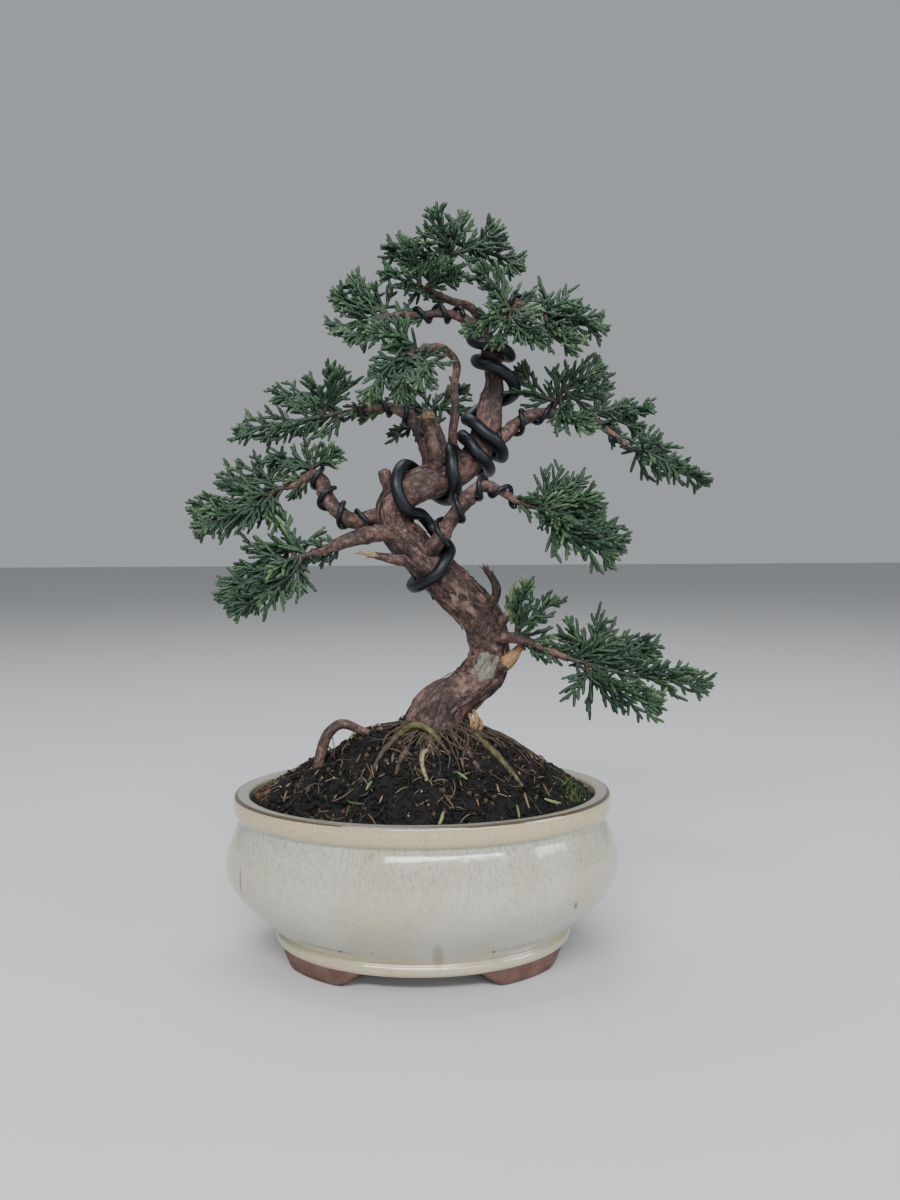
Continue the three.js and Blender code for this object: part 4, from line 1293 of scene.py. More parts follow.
    def crumbs(
        self, name: str, finish: bpy.types.Material, count: int, size: tuple[float, float],
        rng: np.random.Generator, sink: float = 0.2, squat: float = 0.75,
        places: np.ndarray | None = None, fleck: float = 0.0,
    ) -> None:
        """Makes loose crumbs, each an uneven grain turned its own way.

        Args:
            name: The piece's name.
            finish: Its material.
            count: How many.
            size: Smallest and largest half width.
            rng: The stream of random numbers.
            sink: How deep a crumb sits, as a share of its half width.
            squat: Least height as a share of width.
            places: Where they lie, or None for all over the mound.
            fleck: The share of them that are pale.
        """
        at = self.spots(count, rng) if places is None else places
        half = rng.uniform(size[0] ** 0.5, size[1] ** 0.5, count) ** 2
        at[:, 2] += half * (1 - 2 * sink) * 0.5 + 0.35 * noise_at(at, 0.42, 1, 3.0)
        form = ICO[None] * rng.uniform(0.62, 1.25, (count, 12, 1))
        form = form * np.stack([rng.uniform(0.7, 1.4, count), rng.uniform(0.7, 1.1, count),
                                rng.uniform(squat, 1.0, count)], axis=1)[:, None, :]
        turns = np.stack([np.array(Euler(tuple(rng.uniform(-3.14, 3.14, 3))).to_matrix())
                          for _ in range(count)])
        form = np.einsum("nij,nkj->nki", turns, form) * half[:, None, None] + at[:, None, :]
        faces = (ICO_FACES[None] + (np.arange(count) * 12)[:, None, None]).reshape(-1, 3)
        mark = np.stack([rng.uniform(0, 1, count), rng.uniform(0, 1, count) < fleck,
                         self.moss(at) * 0.6], axis=1)
        mesher = Mesher()
        mesher.add(form.reshape(-1, 3), [], faces, np.repeat(mark, 12, axis=0))
        mesher.make(name, [finish], "soil_mix")

    def strands(
        self, name: str, finish: bpy.types.Material, count: int, length: tuple[float, float],
        radius: tuple[float, float], rng: np.random.Generator, flat: float = 1.0,
        curl: float = 0.5, places: np.ndarray | None = None, rise: float = 0.25,
        sides: int = 5, slot: str = "soil_mix",
    ) -> None:
        """Makes litter that is longer than it is wide: fibres, chips and clippings.

        Args:
            name: The piece's name.
            finish: Its material.
            count: How many.
            length: Shortest and longest.
            radius: Thinnest and thickest.
            rng: The stream of random numbers.
            flat: Thickness as a share of width.
            curl: How much each one bends.
            places: Where they lie, or None for all over the mound.
            rise: How far they stand up from the soil, as a share.
            sides: Vertices round each.
            slot: The record's material slot.
        """
        at = self.spots(count, rng, 0.95) if places is None else places
        mesher = Mesher()
        for spot in at:
            span = rng.uniform(*length)
            heading = rng.uniform(0, 2 * np.pi)
            steps = np.linspace(-0.5, 0.5, 6)
            bend = rng.uniform(-curl, curl)
            yaw = heading + bend * 2.2 * steps
            xy = np.cumsum(np.stack([np.cos(yaw), np.sin(yaw)], axis=1), axis=0) * span / 5
            xy = xy - xy.mean(axis=0) + spot[:2]
            keep = np.hypot(xy[:, 0] / self.half_width, xy[:, 1] / self.half_width / self.squash)
            xy = xy * np.minimum(1, 0.97 / np.maximum(keep, 1e-6))[:, None]
            thick = rng.uniform(*radius)
            pitch = rng.uniform(-rise, rise)
            z = self.top(xy[:, 0], xy[:, 1]) + 0.5 + thick * flat + pitch * span * (steps + 0.3)
            z = np.maximum(z, self.top(xy[:, 0], xy[:, 1]) + 0.1)
            z = z + 0.25 * span * rise * np.cos(np.pi * steps) * rng.uniform(0, 1)
            taper = thick * (1 - 0.45 * (2 * np.abs(steps)) ** 2)
            face = (rng.uniform(-0.5, 0.5), rng.uniform(-0.5, 0.5), 1.0)
            mesher.tube(np.column_stack([xy, z]), taper, sides, (rng.uniform(0, 1), 1, 0), flat,
                        face)
        mesher.make(name, [finish], slot)

    def build(self) -> None:
        """Makes the mound and its litter."""
        self.mound()
        rng = np.random.default_rng(self.seed)
        mix = SoilFinish("soil_crumb", wet=(0.0024, 0.0021, 0.0023), crumb=(0.0095, 0.0077, 0.0072))
        self.crumbs("soil_crumbs", mix.material(), self.crumb_count, (0.22, 1.0), rng, fleck=0.07)
        grit = LitterFinish("pale_grit", (0.16, 0.14, 0.11), (0.45, 0.43, 0.38))
        self.crumbs("pale_grit", grit.material(), self.grit_count, (0.16, 0.45), rng, sink=0.0)
        chip = LitterFinish("bark_chip", (0.026, 0.017, 0.011), (0.22, 0.15, 0.088))
        self.strands("bark_chips", chip.material(), self.chip_count, (1.2, 4.2), (0.18, 0.5), rng,
                     0.4, 0.2)
        fibre = LitterFinish("dry_fibre", (0.012, 0.009, 0.007), (0.13, 0.098, 0.062))
        self.strands("dry_fibres", fibre.material(), self.fibre_count, (3.0, 8.5), (0.09, 0.22),
                     rng, 1, 0.9, None, 0.14)
        green = LitterFinish("cut_shoots", (0.03, 0.055, 0.02), (0.15, 0.2, 0.08), 0.6)
        self.strands("cut_shoots", green.material(), self.cut_count, (2.6, 5.6), (0.38, 0.55), rng,
                     1, 0.3, None, 0.12, 6)
        count = self.tuft_count
        tuft = np.stack([rng.normal(-48.2, 1.6, count), rng.normal(-7.0, 3.0, count)], axis=1)
        tuft = np.column_stack([tuft, self.top(tuft[:, 0], tuft[:, 1]) + 0.6])
        red = LitterFinish("dry_moss", (0.06, 0.034, 0.022), (0.2, 0.12, 0.075))
        self.strands("dry_moss_tuft", red.material(), count, (2.5, 6.0), (0.1, 0.19), rng, 1, 2.0,
                     tuft, 0.5)
        self.moss_tufts(rng)
        self.foot_litter(rng, mix.material())

    def foot_litter(self, rng: np.random.Generator, mix: bpy.types.Material) -> None:
        """Makes the crumbs and fibres that climb the trunk's foot.

        Args:
            rng: The stream of random numbers.
            mix: The crumbs' material.
        """
        count = self.foot_crumb_count
        turn = rng.normal(np.pi * 1.12, 1.15, count)
        out = rng.uniform(7.5, 11.5, count)
        spots = np.stack([PLACE.trunk_foot + out * np.cos(turn), 0.9 * out * np.sin(turn)], axis=1)
        climb = rng.uniform(0, 1, count) * (11.5 - out)
        places = np.column_stack([spots, self.top(spots[:, 0], spots[:, 1]) + climb])
        self.crumbs("foot_crumbs", mix, count, (0.3, 1.1), rng, places=places)
        dark = LitterFinish("foot_fibre", (0.012, 0.009, 0.007), (0.09, 0.062, 0.04))
        count = self.foot_fibre_count
        self.strands("foot_fibres", dark.material(), count, (3.0, 8.0), (0.12, 0.3), rng, 0.6, 0.9,
                     places[:count], 0.55)

    def moss_tufts(self, rng: np.random.Generator) -> None:
        """Makes the moss: short upright leaves in two patches."""
        mesher = Mesher()
        for middle, spread, count in (((46.5, -9.0), (2.6, 4.6), 150), ((-40, 14.5), (5, 3), 130)):
            for _ in range(count):
                x = middle[0] + rng.normal(0, spread[0])
                y = middle[1] + rng.normal(0, spread[1])
                out = math.hypot(x / self.half_width, y / self.half_width / self.squash)
                if out > 0.965:
                    continue
                z = float(self.top(x, y))
                lean = rng.normal(0, 0.5, 2)
                tall = rng.uniform(0.7, 1.9)
                root = np.array([x, y, z + 0.1])
                tip = root + np.array([lean[0], lean[1], 1.0]) * tall
                middle_point = (root + tip) / 2 + np.append(rng.normal(0, 0.12, 2), 0)
                mesher.tube(np.stack([root, middle_point, tip]), np.array([0.17, 0.2, 0.06]), 4,
                            (rng.uniform(0, 1), 1, 0))
        finish = LitterFinish("moss", (0.012, 0.026, 0.007), (0.07, 0.11, 0.03), 0.85)
        mesher.make("moss_tufts", [finish.material()], "soil_mix")


# ---- Routes of the tree -------------------------------------------------------------------


@dataclass(frozen=True)
class SprayPlan:
    """One spray of foliage: how far its shoots reach, and its twigs' routes."""

    reach: float
    twig: tuple[Point, ...]
    forks: tuple[tuple[Point, ...], ...]


TRUNK: tuple[Station, ...] = (
    (0, 0, -12, 1.3), (0.3, 0, -2, 1.5), (2.5, 0, 3.5, 1.2), (7, 0.5, 7.2, 1),
    (11.6, 1.2, 10.6, 0.93), (15.4, 2, 15, 0.92), (16.8, 3, 20.5, 0.93), (16, 3, 26, 0.94),
    (13.4, 2, 31.5, 0.93), (9.6, 0.8, 36.2, 0.94), (5.5, 0, 40, 0.93), (1.5, -1, 44, 0.9),
    (-3, -2, 48.8, 0.87), (-7.5, -2.8, 53.5, 0.84), (-11.3, -3, 58.5, 0.8), (-13, -3, 64, 0.74),
    (-10.6, -3, 68.8, 0.74), (-5, -2.3, 72, 0.74), (1.8, -1, 74.1, 0.74), (8.2, 0, 77.7, 0.68),
    (13, 1, 82.4, 0.62), (15.8, 2, 89.3, 0.57), (16.9, 3, 96.3, 0.53), (18.3, 3, 102.5, 0.46),
    (17.9, 2.6, 109, 0.4), (16.4, 2, 115, 0.34), (14.8, 1.2, 120.5, 0.29), (13.8, 1, 124.5, 0.2),
)

FOOT_FLANGE: tuple[Station, ...] = (
    (8, -5, -6, 0.4), (12, -5.5, -1, 0.32), (12.6, -5, 2, 0.24), (11.6, -3, 5, 0.12),
)

BRANCHES: dict[str, tuple[Station, ...]] = {
    "branch_low_left": (
        (-9, -3, 55.5, 1.15), (-14.5, -7.5, 57.3, 1.08), (-20, -9, 56.8, 1.04),
        (-25.6, -10.4, 55.4, 0.95), (-31, -12, 53, 0.6), (-36, -12.5, 51.3, 0.45),
    ),
    "branch_mid_left": (
        (-12.5, -3, 62.5, 1.1), (-18.4, -3.4, 62.6, 1.02), (-24.4, -4, 61, 0.96),
        (-29.5, -4, 64, 0.95), (-33, -3, 68.6, 0.95), (-34.6, -2, 73.2, 0.9), (-37, -1, 75.2, 0.8),
        (-41, -0.5, 73.4, 0.5), (-46, -0.5, 71.6, 0.42),
    ),
    "branch_mid_right": (
        (-2.5, -4.5, 51.5, 1.05), (0.8, -9, 54.7, 1), (4.4, -11, 60.6, 0.92),
        (8.9, -12, 66.4, 0.88), (13.3, -12, 70.6, 0.8), (18.3, -12, 70, 0.6),
        (23.6, -12, 66.9, 0.48), (28, -12, 64.9, 0.42),
    ),
    "branch_upper_right": (
        (12.5, 2, 83, 1), (19, 2, 85.6, 0.92), (25, 3, 90.7, 0.85), (31, 4, 93.9, 0.76),
        (39, 5, 94, 0.62), (48.4, 6, 92.8, 0.52), (53.5, 5.6, 89.5, 0.46), (59, 4, 84.5, 0.4),
    ),
    "branch_upper_left": (
        (-1, 1, 76, 0.95), (-4, 8, 86.5, 0.85), (-8, 9, 94, 0.78), (-13.5, 8, 96.8, 0.7),
        (-20, 6, 96.5, 0.56), (-27, 4, 95, 0.46),
    ),
    "branch_inner": (
        (5.5, 1, 80, 0.7), (5.4, -3.5, 87.5, 0.58), (6.3, -5.2, 94.7, 0.52), (6, -5.6, 101, 0.5),
        (6.6, -6, 107.5, 0.48), (2.5, -11, 111.3, 0.45), (-3, -16, 110, 0.4),
    ),
    "branch_back": (
        (2, 1.5, 76, 0.7), (3, 12, 83, 0.55), (1, 18, 91, 0.48), (-1.5, 19.5, 97, 0.4),
    ),
    "branch_low_right": (
        (16.5, 1.5, 24, 0.82), (21, -5, 25.6, 0.74), (25.3, -8, 25.3, 0.66), (33, -9.8, 22.2, 0.5),
        (39, -10, 19.8, 0.42),
    ),
    "branch_crown_left": (
        (14.4, 1, 119.6, 0.62), (8, -3, 122, 0.58), (1.8, -4.6, 122.8, 0.54),
        (-5.7, -6, 121.8, 0.46), (-12, -6, 122, 0.38),
    ),
    "branch_crown_right": (
        (15.2, 1.2, 120, 0.62), (18.6, -1.5, 123.4, 0.55), (24.2, -5, 125.6, 0.5),
        (31, -6, 122.6, 0.4),
    ),
    "branch_crown_top": (
        (14, 1, 123, 0.5), (10.4, 3.2, 127, 0.54), (4.8, 4, 128.8, 0.5), (-0.6, 2.6, 131.4, 0.46),
        (0.4, 1, 135, 0.42), (3.2, 0, 138.6, 0.38),
    ),
}

DEAD_BRANCHES: dict[str, tuple[Station, ...]] = {
    "dead_stub_left": (
        (-6, -4, 49, 0.8), (-12.3, -7.4, 49.4, 0.62), (-17.2, -9.6, 50.6, 0.5),
        (-22.4, -11.4, 51.6, 0.16),
    ),
    "sawn_stub_bend": (
        (-11.4, -3, 69, 0.95), (-13.8, -4, 72, 0.85), (-15, -4.8, 74.6, 0.82), (-15.2, -5, 76, 0.8),
    ),
    "sawn_stub_upright": (
        (1, -2.5, 76, 0.98), (-0.3, -5.6, 81.7, 0.9), (-1.4, -6, 87.6, 0.9), (-2.3, -6, 92.7, 0.94),
    ),
    "dead_twig_right": (
        (13, 0, 33, 0.75), (17.4, -4.6, 36.4, 0.58), (18.4, -6.2, 40, 0.58), (17, -7.4, 43.6, 0.46),
        (14.5, -8.6, 47, 0.26),
    ),
    "torn_stub_right": (
        (16, 1, 14.5, 1.3), (21, -2, 17, 1), (24, -3.4, 20, 0.75), (26.9, -3.6, 24, 0.25),
    ),
    "torn_tip_right": (
        (16.5, 2, 28, 0.85), (21.5, -1.5, 31.4, 0.66), (25, -3.6, 37, 0.46), (26.6, -4.6, 44, 0.16),
    ),
}

ROOTS: dict[str, tuple[Station, ...]] = {
    "root_arch": (
        (-36.5, -8, -3, 1), (-35.2, -8, 2.9, 1.1), (-32.6, -7.6, 8.2, 1.05), (-28.6, -7, 7.6, 0.95),
        (-23, -6, 0.9, 0.9), (-18, -5, -3.2, 0.8), (-14.4, -4.6, -4, 0.7),
    ),
    "root_green_arch": (
        (-13, -8.4, -1.2, 0.6), (-9.6, -10, 2.2, 0.62), (-6, -11.2, 3.6, 0.62),
        (-2, -12.4, 2.6, 0.6), (2, -13.8, -1.2, 0.55),
    ),
    "root_pale": (
        (-2.4, -15.6, -0.6, 0.5), (-4, -18.4, 1.4, 0.5), (-4, -21.4, 1, 0.45),
        (-2.6, -24.6, -0.6, 0.35),
    ),
    "root_left_long": (
        (-9.5, -6.5, -0.4, 0.62), (-13.6, -11.6, 0.4, 0.56), (-17, -17, 0.4, 0.48),
        (-19.4, -23, -0.6, 0.36),
    ),
    "root_left_short": (
        (-8, -13.6, -0.4, 0.55), (-10, -17.6, 0.4, 0.5), (-11.6, -22.6, -0.4, 0.4),
    ),
    "root_right_short": (
        (8.5, -11, -0.3, 0.6), (9.4, -15, 0.4, 0.55), (13.4, -20.6, -0.5, 0.42),
    ),
    "root_right_long": (
        (11.4, -7, -0.5, 0.75), (15.6, -11.6, 0.5, 0.72), (20.6, -16, 0.4, 0.6),
        (25, -20, -0.6, 0.4),
    ),
    "root_right_ridge": (
        (12.6, 1.6, -0.6, 0.62), (20, 2, 0.5, 0.55), (28, 2, 0.4, 0.48), (36, 2, -0.6, 0.36),
    ),
}

TRUNK_WIRE_MARKS: tuple[tuple[float, ...], ...] = (
    (11.5, -190), (11.6, -95), (11.4, 0), (11.7, 70), (12.4, 95), (13.2, 100, 0.8), (15.2, 60, 0.3),
    (15.9, 0), (16.5, -58), (17.05, -118, -0.2), (17.6, -195), (18.1, -270), (18.4, -360),
    (19.2, -450, -0.2), (19.5, -540), (19.7, -630), (19.7, -720), (20.35, -810), (20.4, -900),
    (20.25, -990, 1.2), (20.6, -1080, 0.3), (21.3, -1170, 0.6), (22.3, -1260), (22.9, -1350, 1.2),
    (23.8, -1440, 0.4), (24.4, -1530), (24.5, -1620), (24.2, -1710, 0.8), (24.9, -1800),
    (25.5, -1890), (26, -1980), (26.3, -2070),
)

BRANCH_COILS: dict[str, tuple[float, float, int, float]] = {
    "branch_mid_left": (1.3, 6.4, 4, -60),
    "branch_mid_right": (1.2, 6.2, -4, 60),
    "branch_upper_right": (1.1, 6.8, -5, 0),
    "branch_upper_left": (1.1, 4.6, 3, 0),
    "branch_crown_left": (1, 3.6, 3, 0),
    "branch_crown_right": (1, 2.8, -2, 0),
}

SPRAYS: dict[str, SprayPlan] = {
    "spray_low_left": SprayPlan(
        9,
        ((-35, -12.4, 51.6), (-44, -13, 49), (-53, -14, 44.5), (-61, -14.5, 40)),
        (
            ((-42, -14.5, 45.5), (-50, -16, 40), (-56.5, -17, 35.5)),
            ((-42, -8, 53.5), (-50, -6, 51), (-57, -5, 47)),
        ),
    ),
    "spray_mid_left": SprayPlan(
        9,
        ((-45, -0.5, 71.9), (-54, -1, 69.5), (-63, -2, 66.5), (-71.5, -3, 65)),
        (
            ((-52, -5, 66.5), (-61, -8, 62.5), (-69, -9, 60)),
            ((-52, 5, 75), (-59, 9, 76), (-66, 11, 74.5)),
        ),
    ),
    "spray_mid_left_top": SprayPlan(
        6,
        ((-37, -1, 76), (-39.5, 0.5, 78.5), (-44.5, 2, 80.5), (-50, 3, 81)),
        (
            ((-34, -2, 79.5), (-30.5, -4, 81.5)),
        ),
    ),
    "spray_upper_left": SprayPlan(
        8,
        ((-26, 4.2, 95.2), (-38, 3, 93), (-49, 2, 91), (-59, 2, 89.6)),
        (
            ((-34, 8, 99), (-42, 11, 102), (-49, 13, 101)),
            ((-31, 0.5, 100), (-30, -2, 104)),
        ),
    ),
    "spray_front_left": SprayPlan(
        7,
        ((-2.4, -15.4, 110.2), (-9, -19, 107.5), (-14.5, -21, 102), (-18, -22, 97)),
        (
            ((-9, -19.5, 111.5), (-15, -22, 113.5)),
            ((-2, -20, 105), (-4, -22.6, 99.5)),
            ((-8, -20, 103), (-10, -22, 96.5)),
        ),
    ),
    "spray_back": SprayPlan(
        7,
        ((-1.2, 19.3, 96), (-6, 20.5, 99.5), (-12, 21, 103)),
        (
            ((3.5, 21.5, 100), (8, 22.5, 104)),
            ((-6, 19, 93), (-12, 18, 91)),
        ),
    ),
    "spray_crown_left": SprayPlan(
        7,
        ((-11.4, -6, 122), (-19, -7, 121), (-28, -8, 118)),
        (
            ((-17, -4, 127), (-23.5, -3, 132)),
            ((-17, -10.5, 117), (-23, -13, 114)),
            ((-21, -3, 125.5), (-28, -4, 127.5)),
        ),
    ),
    "spray_crown_top": SprayPlan(
        7,
        ((3, 0, 138), (6, 0.4, 144.5), (8.8, 1, 151)),
        (
            ((-4, -1, 141), (-12, -2, 143)),
            ((11, -2, 142.5), (18, -3, 147)),
            ((3, 7, 142), (4, 13, 146)),
            ((2.5, -4, 145), (1.5, -6, 150.5)),
            ((14, 3, 143.5), (20, 4, 142), (24.5, 3, 139)),
        ),
    ),
    "spray_crown_front": SprayPlan(
        6.5,
        ((-1.6, 2.6, 131), (-7, -4, 132), (-13, -9, 133)),
        (
            ((3, -6, 132), (8, -11, 131.5)),
            ((-5, -4, 137.5), (-8, -6, 142)),
        ),
    ),
    "spray_crown_right": SprayPlan(
        8,
        ((30.4, -6, 122.9), (39, -6.5, 120), (48, -7, 118)),
        (
            ((34, -9.5, 116), (39, -12.5, 111)),
            ((36, -1, 125), (42, 3, 126)),
        ),
    ),
    "spray_crown_middle": SprayPlan(
        6,
        ((24.4, -5.4, 125.2), (21, -10, 119), (18, -13.5, 113)),
        (
            ((26, -10.5, 120), (27, -14, 114)),
            ((19, -9.5, 128.5), (14, -11, 133)),
            ((24, -13, 117), (30, -16, 111.5)),
            ((17, -11, 120), (10, -14, 115.5)),
        ),
    ),
    "spray_upper_right": SprayPlan(
        7,
        ((36, 4.6, 94.6), (39.5, 3, 101), (44.5, 1, 104.5), (49, 0, 106.5)),
        (
            ((31, 3.4, 100.5), (28, 2, 106)),
            ((40, -1, 91.5), (46, -4, 89.5)),
            ((43, 0, 98), (51, -2, 101)),
        ),
    ),
    "spray_right_shoot": SprayPlan(
        5.5,
        ((47.6, 6.2, 93.4), (54, 9, 96), (61, 11.5, 97), (68, 12.5, 97)),
        (
            ((60, 12.5, 92.5), (65, 14, 91)),
        ),
    ),
    "spray_right_droop": SprayPlan(
        7,
        ((58.4, 4.2, 85), (66, 3.4, 80.5), (75, 2.8, 76), (82, 2.2, 73.5)),
        (
            ((65, -1.5, 81.5), (72, -4.5, 77)),
            ((65, 8, 84), (72, 10, 80.5)),
        ),
    ),
    "spray_mid_right": SprayPlan(
        9,
        ((27.4, -12, 65.1), (37, -12, 63), (46, -13, 58.5), (53, -14, 54)),
        (
            ((36, -10, 67.5), (45, -9, 67.5)),
            ((34, -16, 59.5), (42, -18.5, 55), (49, -19.5, 51)),
            ((38, -6, 64.5), (48, -3, 63)),
        ),
    ),
    "spray_low_right_tuft": SprayPlan(
        6,
        ((24.4, -8, 26.2), (24.6, -10.5, 33), (27, -11.5, 41)),
        (
            ((29, -11.5, 32), (34.5, -12.5, 36.5)),
        ),
    ),
    "spray_low_right": SprayPlan(
        9,
        ((38.4, -10, 20), (52, -10, 16), (66, -9.5, 13), (80, -9, 11)),
        (
            ((46, -14.5, 14), (55, -17, 9.5), (63, -18, 7)),
            ((46, -5, 23), (56, -2, 22.5), (66, 0, 19.5)),
        ),
    ),
}

# The branches that are clothed before their sprays begin: the branch, and the bare share of it.
CLOTHED: dict[str, tuple[str, float]] = {
    "spray_low_left": ("branch_low_left", 0.66),
    "spray_mid_left": ("branch_mid_left", 0.78),
    "spray_upper_left": ("branch_upper_left", 0.62),
    "spray_crown_left": ("branch_crown_left", 0.6),
    "spray_crown_top": ("branch_crown_top", 0.4),
    "spray_crown_right": ("branch_crown_right", 0.55),
    "spray_right_droop": ("branch_upper_right", 0.74),
    "spray_mid_right": ("branch_mid_right", 0.84),
    "spray_low_right": ("branch_low_right", 0.4),
    "spray_front_left": ("branch_inner", 0.86),
    "spray_back": ("branch_back", 0.7),
}


# ---- Wood ---------------------------------------------------------------------------------


@dataclass(frozen=True)
class Relief:
    """Plates, cracks and lumps of bark, worked out on the unrolled limb.

    A call gives each vertex its height and its mark: tone, crack (1 where whole, and painted as
    shade by the bark) and bare wood.
    """

    plates: float = 0.3
    stretch: float = 0.4
    depth: float = 0.5
    lumps: float = 0.25
    fibres: float = 0.12
    cracked: float = 0.9
    smooth_from: float = 2.0
    offset: float = 0.0
    bare: Any = None

    def __call__(
        self, grain: np.ndarray, radii: np.ndarray, centres: np.ndarray, across: np.ndarray,
        over: np.ndarray,
    ) -> tuple[np.ndarray, np.ndarray]:
        """Works out the relief of one tube.

        Args:
            grain: Unrolled coordinates, by ring and side.
            radii: Radii, by ring and side.
            centres: The middle of each ring.
            across: Each ring's first direction.
            over: Each ring's second direction.

        Returns:
            Heights and marks, by ring and side.
        """
        rings, sides = radii.shape
        height = np.zeros((rings, sides))
        marks = np.zeros((rings, sides, 3))
        unit_radius = np.maximum(radii, 1e-6)
        places = (centres[:, None, :]
                  + across[:, None, :] * grain[:, :, 0:1] + over[:, None, :] * grain[:, :, 1:2])
        for i in range(rings):
            rough = 1 - 0.75 * float(smooth(i / rings, self.smooth_from, self.smooth_from + 0.2))
            for j in range(sides):
                gx, gy, gz = grain[i, j]
                gz += self.offset
                bend = noise.noise(Vector((gx * 0.35, gy * 0.35, gz * 0.17)))
                shake = noise.noise(Vector((gx * 1.1, gy * 1.1, gz * 0.6 + 9)))
                p = Vector((gx * self.plates + 0.6 * bend + 0.16 * shake,
                            gy * self.plates - 0.5 * bend + 0.1 * shake,
                            gz * self.plates * self.stretch + 0.7 * bend + 0.2 * shake))
                near, cells = noise.voronoi(p)
                whole = float(smooth((near[1] - near[0]) / 0.12, 0.0, 1.0))
                where = noise.noise(Vector((gx * 0.12, gy * 0.12, gz * 0.08 + 20)))
                open_here = self.cracked * rough * min(1.0, max(0.0, 0.45 + 1.8 * where))
                crack = 1 - (1 - whole) * open_here
                tone = 0.5 + 0.5 * noise.noise(cells[0] * 9.7 + Vector((3.1, 7.7, 1.3)))
                fibre = noise.fractal(Vector((gx * 1.3, gy * 1.3, gz * 0.24)), 0.8, 2.0, 4)
                lump = noise.noise(Vector((gx * 0.13, gy * 0.13, gz * 0.11 + 5)))
                knob = noise.noise(Vector((gx * 0.42, gy * 0.42, gz * 0.36 + 13)))
                height[i, j] = (self.depth * rough * (0.5 * (tone - 0.5) - 0.5 * (1 - crack))
                                + self.fibres * fibre * (0.4 + 0.6 * rough)
                                + self.lumps * (lump + 0.35 * knob))
                # The crack mark carries the painted shade that the bark's material lays in the
                # cracks.
                marks[i, j] = (tone, crack, 0.0)
        if self.bare is not None:
            share = np.repeat(np.linspace(0, 1, rings)[:, None], sides, axis=1)
            marks[:, :, 2] = self.bare(places, share)
        limit = 0.45 * unit_radius
        return np.clip(height, -limit, limit), marks


def lichen(places: np.ndarray, share: np.ndarray) -> np.ndarray:
    """The pale patch on the front of the trunk's lower bend."""
    del share
    middle = np.array([PLACE.trunk_foot + 15.4, -3.5, PLACE.soil_crown + 16.4])
    away = np.linalg.norm((places - middle) * [1 / 4.6, 1 / 5.0, 1 / 4.9], axis=-1)
    return 1.0 - smooth(away, 0.4, 1.3)


def laid_bare(start: float, end: float) -> Any:
    """Bare wood that begins between two shares of a limb's length.

    Args:
        start: Where the bark begins to go.
        end: Where it is all gone.

    Returns:
        The function that a Relief takes.
    """
    def mask(places: np.ndarray, share: np.ndarray) -> np.ndarray:
        """How bare the wood is."""
        del places
        return smooth(share, start, end)

    return mask


@dataclass
class Trunk:
    """The trunk, its torn foot and the flakes that stand off its bark.

    Each splinter of the torn foot has its place aside and its shares of height and thickness.
    """

    radius: float = 7.0
    step: float = 0.55
    sides: int = 88
    flakes: int = 210
    splinters: tuple[Point, ...] = ((-1.7, 0.72, 0.42), (-0.3, 0.82, 0.5), (1.2, 0.6, 0.36))
    seed: int = 21

    def stem(self) -> Route:
        """The trunk's route."""
        return PLACE.limb(TRUNK, self.radius)

    def build(self, finish: bpy.types.Material, torn: bpy.types.Material) -> None:
        """Makes the trunk.

        Args:
            finish: The bark.
            torn: Torn heartwood.
        """
        stem = self.stem()
        stations = stem.stations(self.step)
        mesher = Mesher()
        centres = stem.at(stations)
        mesher.tube(centres, stem.radius(stations), self.sides,
                    relief=Relief(plates=0.24, depth=0.75, lumps=0.9, fibres=0.22,
                                  smooth_from=0.5, bare=lichen))
        self.add_flakes(mesher, stem)
        mesher.slot(1)
        flange = PLACE.limb(FOOT_FLANGE, self.radius)
        at = flange.stations(0.5)
        foot = flange.at(0)[0]
        for aside, tall, thick in self.splinters:
            line = foot + (flange.at(at) - foot) * [1.0, 1.0, tall] + [aside, 0.4 * aside, 0]
            mesher.tube(line, thick * flange.radius(at), 16, flat=0.6, relief=Relief(
                plates=0.9, depth=0.3, lumps=0.5, fibres=0.3, offset=aside,
                bare=laid_bare(0.3, 0.6)))
        made = mesher.make("trunk_bark", [finish, torn], "bark")
        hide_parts("trunk")

    def add_flakes(self, mesher: Mesher, stem: Route) -> None:
        """Adds thin curled flakes that lift from the bark at one end."""
        rng = np.random.default_rng(self.seed)
        for _ in range(self.flakes):
            station = rng.uniform(1.6, 26.0) if rng.uniform() < 0.4 else rng.uniform(2.0, 16.0)
            degrees = rng.uniform(0, 360)
            long = rng.uniform(0.12, 0.42)
            run = np.linspace(station - long, station + long, 5)
            lift = rng.uniform(0.1, 0.75) * np.linspace(0, 1, 5) ** 1.6 * rng.choice([1, 1, 0.4])
            if rng.uniform() < 0.5:
                lift = lift[::-1]
            twist = degrees + np.linspace(0, rng.uniform(-9, 9), 5)
            out = stem.outward(run, twist)
            centres = stem.at(run) + out * (stem.radius(run) + lift)[:, None]
            wide = rng.uniform(0.4, 1.25) * np.array([0.5, 0.9, 1.0, 0.85, 0.35])
            mesher.tube(centres, wide, 6, (rng.uniform(0.2, 1.0), 1, 0), 0.22, out[0], 0.6)


